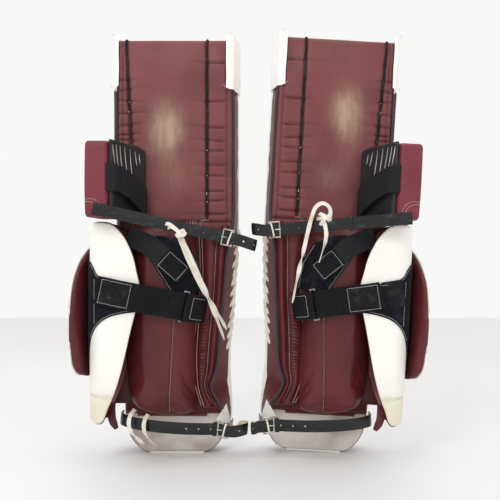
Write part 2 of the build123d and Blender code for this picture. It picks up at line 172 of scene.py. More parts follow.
def bell(distance: np.ndarray, width: float) -> np.ndarray:
    """A bell curve of height 1."""
    return np.exp(-(distance / width) ** 2)


def rim_steps(length: float, step: float, rim: float) -> np.ndarray:
    """Places from 0 to a length, a step apart, and closer near both ends where a rim is rounded."""
    ends = rim * np.array([0.0, 0.06, 0.22, 0.5, 1.0])
    middle = np.linspace(rim, length - rim, max(2, int((length - 2 * rim) / step) + 1))
    return np.concatenate([ends[:-1], middle, length - ends[:-1][::-1]])


def ripple(x: np.ndarray, z: np.ndarray, size: float, seed: int) -> np.ndarray:
    """Soft uneven waves of about unit height, the same on every run."""
    rng = np.random.default_rng(SEED + seed)
    total = np.zeros(np.broadcast(x, z).shape)
    for _ in range(7):
        angle, phase, scale = rng.uniform(0, math.pi), rng.uniform(0, 2 * math.pi), rng.uniform(0.6, 1.6)
        total += np.sin((x * math.cos(angle) + z * math.sin(angle)) * scale / size + phase)
    return total / 3


def boot_bend(points: np.ndarray) -> np.ndarray:
    """Points turned forward below the boot break, as the boot is built, with a soft bend."""
    bent = points.copy()
    angle = np.radians(BOOT_REST_ANGLE) * smoothstep((BOOT_BREAK_Z + 10 - points[..., 2]) / 22)
    depth, rise = points[..., 1], points[..., 2] - BOOT_BREAK_Z
    bent[..., 1] = depth * np.cos(angle) + rise * np.sin(angle)
    bent[..., 2] = BOOT_BREAK_Z - depth * np.sin(angle) + rise * np.cos(angle)
    return bent


# ------------------------------------------------------------------ where each pad is
class Side(Enum):
    """The leg that a pad is worn on."""

    RIGHT = "right"
    LEFT = "left"


class Follow(Enum):
    """The body that a piece moves with, or the two bodies either side of a joint that a piece spans."""

    SHIN = ("shin",)
    THIGH = ("thigh",)
    BOOT = ("boot",)
    FLAP = ("calf_flap",)
    CALF_STRAP = ("calf_strap",)
    THIGH_BREAK = ("shin", "thigh")
    BOOT_BREAK = ("shin", "boot")
    FLAP_FOLD = ("shin", "calf_flap")


BLEND_ENDS = {
    Follow.THIGH_BREAK: ((0, THIGH_HINGE_DEPTH, THIGH_BREAK_Z - 38),
                         (0, THIGH_HINGE_DEPTH, THIGH_BREAK_Z + 38)),
    Follow.BOOT_BREAK: ((0, 0, BOOT_BREAK_Z + 22), (0, 0, BOOT_BREAK_Z - 22)),
    Follow.FLAP_FOLD: ((-157, 90, 330), (-184, 90, 330)),
}


@dataclass(frozen=True)
class PadPlace:
    """Where one pad's own frame lies in the row frame.

    Attributes:
        side: The leg it is worn on.
        origin: The row-frame point of the pad's x, depth and z of 0.
        across: The direction of the pad's +x.
        up: The direction of the pad's +z.
    """

    side: Side
    origin: tuple[float, float, float]
    across: tuple[float, float, float]
    up: tuple[float, float, float]

    @classmethod
    def from_joints(cls, side: Side, joints: Sequence[dict]) -> PadPlace:
        """The place of a pad, found from the hinge between its thigh rise and its shin.

        Args:
            side: The leg it is worn on.
            joints: The frame's joints.

        Returns:
            The pad's place.
        """
        hinge = next(j for j in joints if j["name"] == f"thigh_flex_{side.value}")
        axis = np.array(hinge["axis"], float)
        across = axis if side is Side.RIGHT else -axis
        up = np.cross(axis, (0.0, 1.0, 0.0))
        origin = np.array(hinge["pos_m"], float) + MM * (
            THIGH_HINGE_DEPTH * np.array((0.0, 1.0, 0.0)) - THIGH_BREAK_Z * up)
        return cls(side, tuple(origin), tuple(across), tuple(up))

    def world(self, points: Sequence) -> np.ndarray:
        """Row-frame points in metres, from (x, depth, z) points in millimetres."""
        p = np.asarray(points, float) * MM
        towards_leg = np.array((0.0, -1.0, 0.0))
        return (np.array(self.origin) + p[..., :1] * np.array(self.across)
                + p[..., 1:2] * towards_leg + p[..., 2:3] * np.array(self.up))

    def node(self, name: str) -> str:
        """The name of a CAD node, body or piece of this pad."""
        return f"{name}_{self.side.value}"

    def dress(self, piece: bpy.types.Object, follow: Follow, slot: str,
              replaces: Sequence[str] = ()) -> bpy.types.Object:
        """Makes a finished piece move with this pad.

        Args:
            piece: The piece, already in place.
            follow: What it moves with; a piece that spans two bodies is not bound to either.
            slot: The record's material slot for its finish; not used.
            replaces: CAD nodes that it stands for, without their side.

        Returns:
            The piece.
        """
        bodies = [self.node(name) for name in follow.value]
        if len(bodies) == 1:
            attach(piece, bodies[0])
        else:
            start, end = (self.world(point) for point in BLEND_ENDS[follow])
            tuple(start)
            tuple(end)
            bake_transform(piece)
        if replaces:
            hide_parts(*[self.node(name) for name in replaces])
        log.info("%s moves with %s", piece.name, " and ".join(bodies))
        return piece


# ------------------------------------------------------------------ meshes
class Form:
    """A mesh in the making, in a pad's own frame, from grids of points.

    Each grid carries a part number, which picks its finish, and two marks per point, each from 0 to 1: one
    where the surface is rubbed or stained, painted shade instead on the boot lining, and one of painted
    shade in folds, seams, recesses and shaded pieces.
    """

    def __init__(self) -> None:
        """Starts with no points."""
        self.points: list[np.ndarray] = []
        self.faces: list[np.ndarray] = []
        self.parts: list[np.ndarray] = []
        self.marks: dict[str, list[np.ndarray]] = {"wear": [], "crease": []}
        self.spots: list[np.ndarray] = []
        self.count = 0

    def grid(self, grid: np.ndarray, part: int = 0, loop: bool = False, spots: np.ndarray | None = None,
             **marks: np.ndarray | float) -> Form:
        """Adds a surface from a grid of points.

        Args:
            grid: Points, as rows by columns by 3.
            part: The number of its finish.
            loop: Whether its last column joins its first.
            spots: Pattern coordinates, as rows by columns by 2; x and z in decimetres if left out.
            **marks: Values of wear and crease, one number or one for each point.

        Returns:
            The form itself.
        """
        rows, columns = grid.shape[:2]
        index = self.count + np.arange(rows * columns).reshape(rows, columns)
        if loop:
            index = np.hstack([index, index[:, :1]])
        quads = np.stack([index[:-1, :-1], index[1:, :-1], index[1:, 1:], index[:-1, 1:]], axis=-1)
        self.faces.append(quads.reshape(-1, 4))
        self.parts.append(np.full(len(self.faces[-1]), part))
        self.points.append(grid.reshape(-1, 3))
        self.spots.append((grid[..., [0, 2]] / 100 if spots is None else spots).reshape(-1, 2))
        for name, values in self.marks.items():
            values.append(np.broadcast_to(marks.get(name, 0.0), (rows, columns)).reshape(-1))
        self.count += rows * columns
        return self

    def sheet(self, top: np.ndarray, bottom: np.ndarray, parts: tuple[int, int, int] = (0, 0, 0),
              spots: np.ndarray | None = None, **marks: np.ndarray | float) -> Form:
        """Adds a closed sheet: a top, a bottom, and a rim that joins them.

        Args:
            top: Grid of the upper face.
            bottom: Grid of the lower face, with as many rows and columns.
            parts: Finish numbers of top, bottom and rim.
            spots: Pattern coordinates for both faces.
            **marks: Values of wear and crease.

        Returns:
            The form itself.
        """
        self.grid(top, parts[0], spots=spots, **marks)
        self.grid(bottom, parts[1], spots=spots, **marks)
        for edge in (np.s_[0, :], np.s_[-1, :], np.s_[:, 0], np.s_[:, -1]):
            line = {name: np.asarray(value)[edge] if np.ndim(value) else value for name,
                    value in marks.items()}
            self.grid(np.stack([top[edge], bottom[edge]]), parts[2], **line)
        return self

    def shell(self, middle: np.ndarray, thickness: float, radius: float, parts: tuple[int, int] = (0, 0),
              spots: np.ndarray | None = None, swell: np.ndarray | float = 0.0,
              **marks: np.ndarray | float) -> Form:
        """Adds a thick curved panel with rounded edges.

        Args:
            middle: Grid of the surface half way through its thickness.
            thickness: The full thickness.
            radius: How far from the edges the rounding starts.
            parts: Finish numbers of the two faces, the first towards the leg.
            spots: Pattern coordinates for both faces.
            swell: Extra height of the first face.
            **marks: Values of wear and crease.

        Returns:
            The form itself.
        """
        out = face_directions(middle)
        share = rounded(rim_distance(middle), radius)[..., None]
        lift = np.broadcast_to(swell, middle.shape[:2])[..., None]
        top = middle + out * share * (thickness / 2 + lift)
        bottom = middle - out * share * thickness / 2
        self.grid(top, parts[0], spots=spots, **marks)
        return self.grid(bottom, parts[1], spots=spots, **marks)

    def tube(self, line: np.ndarray, radius: float | np.ndarray, sides: int = 8, part: int = 0,
             **marks: float) -> Form:
        """Adds a round tube along a line, closed at both ends.

        Args:
            line: The points down its middle.
            radius: Its radius, one number or one for each point.
            sides: Corners of its section.
            part: The number of its finish.
            **marks: Values of wear and crease.

        Returns:
            The form itself.
        """
        along = directions(line)
        side = np.cross(along, carried_normals(line))
        normal = np.cross(side, along)
        turns = np.linspace(0, 2 * math.pi, sides, endpoint=False)
        reach = np.broadcast_to(radius, len(line))[:, None, None]
        ring = (np.cos(turns)[None, :, None] * side[:, None] + np.sin(turns)[None, :, None] * normal[:,
                                                                                                     None])
        rows = line[:, None] + ring * reach
        first = np.repeat(line[:1, None], sides, axis=1)
        last = np.repeat(line[-1:, None], sides, axis=1)
        return self.grid(np.concatenate([first, rows, last]), part, loop=True, **marks)

    def ribbon(self, line: np.ndarray, facing: np.ndarray, width: np.ndarray | float, thickness: float,
               parts: tuple[int, int, int] = (0, 0, 0), across: int = 5, **marks: float) -> Form:
        """Adds a flat band along a line, with pattern coordinates along and across it.

        Args:
            line: The points down its middle.
            facing: The direction that its upper face looks to, one for each point or one for all.
            width: Its width, one number or one for each point.
            thickness: Its thickness.
            parts: Finish numbers of top, bottom and edges.
            across: How many points it has across.
            **marks: Values of wear and crease.

        Returns:
            The form itself.
        """
        along = directions(line)
        look = np.broadcast_to(facing, line.shape)
        side = unit(np.cross(along, look))
        out = np.cross(side, along)
        share = np.linspace(-0.5, 0.5, across)
        half = np.broadcast_to(width, len(line))[:, None, None]
        crown = (1 - (2 * share) ** 2)[None, :, None] * 0.25 * thickness
        middle = line[:, None] + side[:, None] * share[None, :, None] * half
        distance = np.concatenate([[0], np.cumsum(np.linalg.norm(np.diff(line, axis=0), axis=1))]) / 100
        spots = np.stack(np.broadcast_arrays(distance[:, None], share[None] * half[..., 0] / 100), axis=-1)
        return self.sheet(middle + out[:, None] * (thickness / 2 + crown),
                          middle - out[:, None] * thickness / 2,
                          parts, spots, **marks)

    def build(self, name: str, place: PadPlace, materials: Sequence[bpy.types.Material],
              sharp: float = 38.0) -> bpy.types.Object:
        """Makes the object, with points merged, faces outwards and smooth shading.

        Args:
            name: The piece's name, without its side.
            place: The pad that it belongs to.
            materials: Its finishes, in the order of the part numbers.
            sharp: The angle past which an edge stays sharp, in degrees.

        Returns:
            The object, at the origin, in the row frame.
        """
        mesh = bpy.data.meshes.new(place.node(name))
        mesh.from_pydata(place.world(np.concatenate(self.points)), [], np.concatenate(self.faces).tolist())
        for material in materials:
            mesh.materials.append(material)
        mesh.polygons.foreach_set("material_index", np.concatenate(self.parts).astype(np.int32))
        for mark, values in self.marks.items():
            layer = mesh.attributes.new(mark, "FLOAT", "POINT")
            layer.data.foreach_set("value", np.concatenate(values).astype(np.float32))
        corners = np.zeros(len(mesh.loops), np.int32)
        mesh.loops.foreach_get("vertex_index", corners)
        mesh.uv_layers.new(name="pattern").data.foreach_set(
            "uv", np.concatenate(self.spots)[corners].astype(np.float32).reshape(-1))
        close_and_orient(mesh)
        mesh.shade_smooth()
        mesh.set_sharp_from_angle(angle=math.radians(sharp))
        return linked(mesh)


def close_and_orient(mesh: bpy.types.Mesh) -> None:
    """Merges a mesh's doubles, drops empty faces and turns its faces outwards."""
    work = bmesh.new()
    work.from_mesh(mesh)
    bmesh.ops.remove_doubles(work, verts=work.verts, dist=2e-5)
    bmesh.ops.dissolve_degenerate(work, edges=work.edges, dist=1e-6)
    loose = [v for v in work.verts if not v.link_faces]
    bmesh.ops.delete(work, geom=loose, context="VERTS")
    bmesh.ops.recalc_face_normals(work, faces=work.faces)
    work.to_mesh(mesh)
    work.free()


def linked(mesh: bpy.types.Mesh) -> bpy.types.Object:
    """A new object in the scene that shows a mesh."""
    made = bpy.data.objects.new(mesh.name, mesh)
    bpy.context.scene.collection.objects.link(made)
    return made


def unit(vectors: np.ndarray) -> np.ndarray:
    """The vectors at length 1."""
    return vectors / np.maximum(np.linalg.norm(vectors, axis=-1, keepdims=True), 1e-9)


def directions(line: np.ndarray) -> np.ndarray:
    """The direction of a line at each of its points."""
    return unit(np.gradient(line, axis=0))


def carried_normals(line: np.ndarray) -> np.ndarray:
    """A normal at each point of a line, carried along without twist."""
    along = directions(line)
    start = np.array((0.0, 1.0, 0.0)) if abs(along[0][1]) < 0.9 else np.array((1.0, 0.0, 0.0))
    found = [unit(start - along[0] * (start @ along[0]))]
    for direction in along[1:]:
        found.append(unit(found[-1] - direction * (found[-1] @ direction)))
    return np.array(found)


def face_directions(grid: np.ndarray) -> np.ndarray:
    """The direction that a grid's face looks to, towards the leg or outwards, at each point."""
    down = np.gradient(grid, axis=0)
    along = np.gradient(grid, axis=1)
    out = unit(np.cross(down, along))
    return out if out[..., 1].sum() >= 0 else -out


def rim_distance(grid: np.ndarray) -> np.ndarray:
    """The distance of each point of a grid from its nearest rim, measured along rows and columns."""
    found = []
    for axis in (0, 1):
        steps = np.linalg.norm(np.diff(grid, axis=axis), axis=-1)
        at = np.concatenate([np.zeros_like(np.take(steps, [0], axis)), np.cumsum(steps, axis)], axis)
        found += [at, np.take(at, [-1], axis) - at]
    return np.minimum.reduce(found)


class Surface:
    """What a piece's own surface is like to a point that falls on it, from behind or from the front."""

    def __init__(self, *pieces: bpy.types.Object) -> None:
        """Reads the pieces' meshes as they are now."""
        corners, faces = [], []
        for piece in pieces:
            start = len(corners)
            corners += [v.co.copy() for v in piece.data.vertices]
            faces += [[start + i for i in p.vertices] for p in piece.data.polygons]
        self.tree = BVHTree.FromPolygons(corners, faces)

    def under(self, place: PadPlace, line: np.ndarray, lift: float = 0.3, front: bool = False) -> np.ndarray:
        """Row-frame points on the surface.

        Args:
            place: The pad.
            line: (x, z) points in the pad's frame; those beside the surface are dropped.
            lift: How far the points stand off the surface.
            front: Whether they fall on it from the front instead of from the leg's side.

        Returns:
            The points, in metres.
        """
        way = 1.0 if not front else -1.0
        fall = Vector((0.0, way, 0.0))
        found = []
        for x, z in line:
            start = Vector(place.world((x, 260.0 if not front else -60.0, z)))
            hit, normal, _, _ = self.tree.ray_cast(start, fall)
            if hit is not None:
                found.append(hit + normal * lift * MM)
        return np.array(found).reshape(-1, 3)


# ------------------------------------------------------------------ shader nodes
class Num:
    """A shader number that Python's operators work on."""

    def __init__(self, nodes: Shader, socket: bpy.types.NodeSocket) -> None:
        """Wraps an output socket of a material under construction."""
        self.nodes, self.socket = nodes, socket

    def _math(self, operation: str, first: Num | float, second: Num | float) -> Num:
        """One Math node on two numbers or sockets."""
        return self.nodes.number("ShaderNodeMath", {"operation": operation}, {0: first, 1: second}, "Value")

    def __add__(self, other: Num | float) -> Num:
        """self + other."""
        return self._math("ADD", self, other)

    __radd__ = __add__

    def __sub__(self, other: Num | float) -> Num:
        """self - other."""
        return self._math("SUBTRACT", self, other)

    def __rsub__(self, other: float) -> Num:
        """other - self."""
        return self._math("SUBTRACT", other, self)

    def __mul__(self, other: Num | float) -> Num:
        """self * other."""
        return self._math("MULTIPLY", self, other)

    __rmul__ = __mul__

    def __pow__(self, other: float) -> Num:
        """self ** other."""
        return self._math("POWER", self, other)

    def above(self, low: float, high: float) -> Num:
        """0 where the number is under low, 1 where it is over high, and a soft step between."""
        return self.nodes.number("ShaderNodeMapRange", {"interpolation_type": "SMOOTHSTEP"},
                                 {"Value": self, "From Min": low, "From Max": high}, "Result")


class Shader:
    """A material under construction round one Principled shader."""

    def __init__(self, name: str) -> None:
        """Starts a material with an empty Principled shader."""
        self.material = bpy.data.materials.new(name)
        self.material.use_nodes = True
        self.tree = self.material.node_tree
        self.principled = self.tree.nodes["Principled BSDF"]
        self.place = self.tree.nodes.new("ShaderNodeTexCoord").outputs["Object"]

    def node(self, kind: str, settings: dict, inputs: dict) -> bpy.types.Node:
        """Adds one node.

        Args:
            kind: The node's type.
            settings: Its properties, set before its sockets.
            inputs: Values or links of its input sockets, by name or number.

        Returns:
            The node.
        """
        made = self.tree.nodes.new(kind)
        for name, value in settings.items():
            setattr(made, name, value)
        for name, value in inputs.items():
            self.feed(made.inputs[name], value)
        return made

    def feed(self, socket: bpy.types.NodeSocket, value: object) -> None:
        """Links a socket, or sets its value."""
        if isinstance(value, Num):
            self.tree.links.new(value.socket, socket)
        elif isinstance(value, bpy.types.NodeSocket):
            self.tree.links.new(value, socket)
        elif isinstance(value, tuple) and len(value) == 3 and socket.type == "RGBA":
            socket.default_value = (*value, 1.0)
        else:
            socket.default_value = value

    def number(self, kind: str, settings: dict, inputs: dict, output: str | int) -> Num:
        """One node's output as a number."""
        return Num(self, self.node(kind, settings, inputs).outputs[output])

    def stretched(self, scale: tuple[float, float, float]) -> bpy.types.NodeSocket:
        """Object coordinates, stretched along each axis."""
        return self.node("ShaderNodeMapping", {}, {"Vector": self.place, "Scale": scale}).outputs[0]

    def noise(self, scale: float, detail: float = 3.0, vector: bpy.types.NodeSocket | None = None) -> Num:
        """Noise from 0 to 1 of that many features per metre."""
        return self.number("ShaderNodeTexNoise", {}, {"Vector": vector or self.place, "Scale": scale,
                                                      "Detail": detail}, 0)

    def cells(self, scale: float) -> Num:
        """Distance to the nearest cell centre, for grain of that many cells per metre."""
        return self.number("ShaderNodeTexVoronoi", {}, {"Vector": self.place, "Scale": scale}, "Distance")

    def mark(self, name: str) -> Num:
        """A mark that the mesh carries."""
        return self.number("ShaderNodeAttribute", {"attribute_name": name}, {}, "Fac")

    def pattern(self) -> tuple[Num, Num]:
        """The pattern coordinates along and across a band, in decimetres."""
        spots = self.node("ShaderNodeUVMap", {"uv_map": "pattern"}, {}).outputs[0]
        split = self.node("ShaderNodeSeparateXYZ", {}, {"Vector": spots})
        return Num(self, split.outputs[0]), Num(self, split.outputs[1])

    def mix(self, share: Num | float, first: object, second: object) -> bpy.types.NodeSocket:
        """A colour between two colours."""
        made = self.node("ShaderNodeMix", {"data_type": "RGBA"}, {0: share})
        self.feed(made.inputs[6], first)
        self.feed(made.inputs[7], second)
        return made.outputs[2]

    def finish(self, colour: object, roughness: Num | float, height: Num | None = None, rise: float = 0.3,
               **plain: float) -> bpy.types.Material:
        """Joins colour, roughness and relief to the shader.

        Args:
            colour: A colour or a colour socket.
            roughness: A number or a number socket.
            height: The relief, about 0 to 1.
            rise: How far the relief rises, in millimetres.
            **plain: Values of the shader's other sockets, with underscores for the spaces in their names.

        Returns:
            The material.
        """
        self.feed(self.principled.inputs["Base Color"], colour)
        self.feed(self.principled.inputs["Roughness"], roughness)
        if height is not None:
            bump = self.node("ShaderNodeBump", {},
                             {"Height": height, "Distance": rise * MM, "Strength": 1.0})
            self.feed(self.principled.inputs["Normal"], bump.outputs[0])
        for name, value in plain.items():
            self.feed(self.principled.inputs[name.replace("_", " ")], value)
        return self.material


# ------------------------------------------------------------------ finishes
@dataclass(frozen=True)
class Leather:
    """Synthetic leather with grain, creases, soft dark blotches, rubbed places and painted shade where its
    mesh marks it.

    Attributes:
        name: The material's name.
        base: Its colour.
        dark: Its colour in its soft dark blotches, and the painted shade colour in folds, seams and
            recesses.
        worn: Its colour where it is rubbed or stained; on the shaded boot lining, a painted shade colour.
        roughness: How matt it is.
        streaks: How uneven the rubbed places are, from 0 to 1.
        blotch: How far soft patches of the dark colour go, from 0 to 1.
        wrinkle: Height of its fine wrinkles, in millimetres.
    """

    name: str
    base: Colour
    dark: Colour
    worn: Colour
    roughness: float = 0.45
    streaks: float = 0.5
    blotch: float = 0.45
    wrinkle: float = 0.5

    def material(self) -> bpy.types.Material:
        """Builds the material."""
        s = Shader(self.name)
        grain = s.cells(720) * 0.35 + s.noise(1500, 2) * 0.25
        folds = s.noise(38, 5) * 0.9 + s.noise(130, 4) * 0.4
        # Painted shade: the crease mark pulls the colour towards the dark colour, on top of the random soft
        # blotches.
        patches = (s.noise(9, 4).above(0.42, 0.7)) * self.blotch + s.mark("crease") * 0.85
        body = s.mix(patches, self.base, self.dark)
        streak = s.noise(110, 8, s.stretched((1.0, 1.0, 0.3))) * 0.6 + s.noise(420, 6) * 0.4
        # Rubbed places from the wear mark; on the boot lining this mark is painted shade, and the worn
        # colour there is a shade colour.
        rubbed = (s.mark("wear") * (1 - self.streaks + self.streaks * 2.0 * streak)).above(0.05, 1.15)
        colour = s.mix(rubbed, body, self.worn)
        roughness = self.roughness + s.noise(24, 3) * 0.16 + rubbed * 0.15 - 0.08
        return s.finish(colour, roughness, folds + grain * 0.3, self.wrinkle, Specular_IOR_Level=0.32)


@dataclass(frozen=True)
class StrapLeather:
    """Dyed harness leather, polished outside or raw inside.

    Attributes:
        name: The material's name.
        base: Its colour.
        rubbed: Its colour where the dye has worn.
        roughness: How matt it is.
        coat: How much of a polish it has, from 0 to 1.
    """

    name: str
    base: Colour
    rubbed: Colour
    roughness: float
    coat: float = 0.0

    def material(self) -> bpy.types.Material:
        """Builds the material."""
        s = Shader(self.name)
        pores = s.cells(1100) * 0.5 + s.noise(260, 5)
        scuffs = s.noise(45, 6, s.stretched((1.0, 1.0, 3.0))).above(0.55, 0.78)
        colour = s.mix(scuffs * 0.55, self.base, self.rubbed)
        return s.finish(colour, self.roughness + scuffs * 0.22 + s.noise(18, 2) * 0.1, pores, 0.12,
                        Coat_Weight=self.coat, Coat_Roughness=0.18, Specular_IOR_Level=0.25)


@dataclass(frozen=True)
class Webbing:
    """Woven elastic with ribs across it, with pale lint on it and painted highlights on its ribs.

    Attributes:
        name: The material's name.
        base: Its colour.
        lint_and_highlight: The colour of its highlights and lint.
        ribs: Ribs in a decimetre.
        roughness: How matt it is.
        rise: Height of the ribs, in millimetres.
    """

    name: str
    base: Colour
    lint_and_highlight: Colour
    ribs: float
    roughness: float = 0.8
    rise: float = 0.5

    def material(self) -> bpy.types.Material:
        """Builds the material."""
        s = Shader(self.name)
        along, across = s.pattern()
        turn = 2 * math.pi * self.ribs
        ribs = s.number("ShaderNodeMath", {"operation": "SINE"}, {0: along * turn}, 0) * 0.5
        threads = s.number("ShaderNodeMath", {"operation": "SINE"}, {0: across * turn * 0.8}, 0) * 0.3
        lint = s.noise(240, 6).above(0.58, 0.78)
        # Painted highlight: the crests of the ribs and threads are mixed towards the pale colour, besides
        # the lint.
        colour = s.mix(lint * 0.5 + (ribs + threads) * 0.12, self.base, self.lint_and_highlight)
        return s.finish(colour, self.roughness, ribs + threads + s.noise(500, 3) * 0.4, self.rise,
                        Specular_IOR_Level=0.12)


@dataclass(frozen=True)
class Pile:
    """Neoprene or hook pile: a deep black with a soft sheen and lint.

    Attributes:
        name: The material's name.
        base: Its colour.
        lint: The colour of the lint on it.
        amount: How much lint there is, from 0 to 1.
        sheen: The strength of its sheen.
    """

    name: str
    base: Colour
    lint: Colour
    amount: float
    sheen: float

    def material(self) -> bpy.types.Material:
        """Builds the material."""
        s = Shader(self.name)
        specks = s.noise(420, 7).above(0.6, 0.75) * self.amount
        dust = s.noise(60, 5).above(0.45, 0.75) * (self.amount * 0.35)
        colour = s.mix(specks + dust, self.base, self.lint)
        return s.finish(colour, 0.88, s.noise(900, 4) + s.noise(90, 3) * 0.6, 0.4, Sheen_Weight=self.sheen,
                        Sheen_Roughness=0.5, Specular_IOR_Level=0.1)


@dataclass(frozen=True)
class Cotton:
    """Flat braided lace or sewing thread.

    Attributes:
        name: The material's name.
        base: Its colour.
        dirt_and_braid_shade: Its colour where it is soiled, and in the braid's hollows as painted shade.
        braid: Crossings of the braid in a decimetre.
    """

    name: str
    base: Colour
    dirt_and_braid_shade: Colour
    braid: float

    def material(self) -> bpy.types.Material:
        """Builds the material."""
        s = Shader(self.name)
        along, across = s.pattern()
        turn = 2 * math.pi * self.braid
        left = s.number("ShaderNodeMath", {"operation": "SINE"}, {0: (along + across) * turn}, 0)
        right = s.number("ShaderNodeMath", {"operation": "SINE"}, {0: (along - across) * turn}, 0)
        braid = left * right
        soiled = s.noise(35, 5).above(0.42, 0.72) * 0.6 + s.mark("wear") * 0.4
        # Painted shade: the braid's hollows lean a little towards the soiled colour and its crests away from
        # it, besides the soiling.
        colour = s.mix(soiled + braid * -0.06, self.base, self.dirt_and_braid_shade)
        return s.finish(colour, 0.85, braid * 0.6 + s.noise(800, 3) * 0.4, 0.35, Sheen_Weight=0.04,
                        Specular_IOR_Level=0.2)


@dataclass(frozen=True)
class Metal:
    """Plated steel with fine scratches and tarnish.

    Attributes:
        name: The material's name.
        base: Its colour.
        tarnish: Its colour where the plating is dull.
        roughness: How matt it is where it is bright.
    """

    name: str
    base: Colour
    tarnish: Colour
    roughness: float

    def material(self) -> bpy.types.Material:
        """Builds the material."""
        s = Shader(self.name)
        dull = s.noise(140, 6).above(0.46, 0.7)
        scratches = s.noise(900, 4, s.stretched((1.0, 4.0, 0.4)))
        return s.finish(s.mix(dull, self.base, self.tarnish), self.roughness + dull * 0.3 + scratches * 0.1,
                        scratches, 0.03, Metallic=1.0)


@dataclass(frozen=True)
class Foam:
    """Cut foam, board or rubber: a matt body with small pores.

    Attributes:
        name: The material's name.
        base: Its colour.
        pore: The colour in its pores.
        scale: Pores in a metre.
    """

    name: str
    base: Colour
    pore: Colour
    scale: float

    def material(self) -> bpy.types.Material:
        """Builds the material."""
        s = Shader(self.name)
        pores = s.cells(self.scale)
        return s.finish(s.mix(pores.above(0.1, 0.55), self.pore, self.base), 0.8, pores, 0.4)


class Wardrobe:
    """Every material of the pads, built once."""

    def __init__(self) -> None:
        """Builds the materials."""
        worn = srgb(168, 142, 118)
        finishes = {
            "faded": Leather("faded_burgundy", srgb(116, 60, 61), srgb(72, 30, 32), worn, 0.48, 0.75, 0.4,
                             0.7),
            "deep": Leather("deep_burgundy", srgb(94, 35, 38), srgb(56, 17, 20), srgb(146, 94, 88), 0.4, 0.5,
                            0.4),
            "knee": Leather("knee_burgundy", srgb(118, 48, 58), srgb(86, 28, 38), srgb(160, 96, 104), 0.5,
                            0.4,
                            0.3, 0.25),
            "white": Leather("white_leather", srgb(243, 241, 235), srgb(176, 168, 152), srgb(226, 219, 196),
                             0.42,
                             0.3, 0.1, 0.3),
            # Painted shade: the boot lining's dark and worn colours stand for the shade below the shin
            # cushion.
            "shade": Leather("boot_lining", srgb(214, 206, 200), srgb(140, 122, 116), srgb(134, 112, 106),
                             0.6,
                             0.5, 0.6, 0.5),
            "piping": Leather("charcoal_piping", srgb(58, 50, 56), srgb(30, 25, 29), srgb(110, 96, 100), 0.5,
                              0.5, 0.3, 0.2),
            "cradle": Leather("cradle_black", srgb(42, 43, 46), srgb(16, 17, 19), srgb(120, 122, 124), 0.5,
                              0.8,
                              0.4, 0.3),
            "strap": StrapLeather("strap_black", srgb(17, 19, 21), srgb(72, 77, 82), 0.3, 0.3),
            "strap_inside": StrapLeather("strap_raw", srgb(214, 200, 162), srgb(176, 152, 108), 0.75),
            "strap_edge": StrapLeather("strap_cut_edge", srgb(182, 166, 136), srgb(90, 78, 62), 0.7),
            "elastic": Webbing("black_elastic", srgb(22, 23, 25), srgb(70, 72, 74), 42.0),
            "band": Webbing("knee_elastic", srgb(32, 33, 36), srgb(80, 82, 86), 60.0, 0.7, 0.25),
            "neoprene": Pile("black_neoprene", srgb(18, 19, 25), srgb(78, 82, 92), 0.4, 0.05),
            "hook": Pile("hook_pile", srgb(24, 25, 28), srgb(110, 112, 112), 0.3, 0.1),
            "lace": Cotton("lace_cotton", srgb(236, 231, 219), srgb(188, 174, 150), 16.0),
            "thread": Cotton("pale_thread", srgb(222, 216, 208), srgb(170, 154, 148), 90.0),
            "cord": Cotton("black_cord", srgb(30, 26, 28), srgb(70, 58, 60), 40.0),
            "steel": Metal("buckle_steel", srgb(206, 202, 192), srgb(120, 108, 84), 0.22),
            "slide": Metal("slide_steel", srgb(150, 152, 156), srgb(64, 66, 70), 0.35),
            "foam": Foam("core_foam", srgb(206, 204, 196), srgb(150, 148, 140), 900.0),
            "board": Foam("stiff_board", srgb(38, 38, 40), srgb(22, 22, 24), 300.0),
        }
        self.made = {name: finish.material() for name, finish in finishes.items()}

    def __getitem__(self, name: str) -> bpy.types.Material:
        """A material by its short name."""
        return self.made[name]


# ------------------------------------------------------------------ what repeats, by Geometry Nodes
@dataclass(frozen=True)
class Gauge:
    """A kind of seam, in millimetres.

    Attributes:
        pitch: From the start of one stitch to the next.
        length: Of one stitch.
        radius: Of the thread.
    """

    pitch: float = 4.2
    length: float = 3.3
    radius: float = 0.5


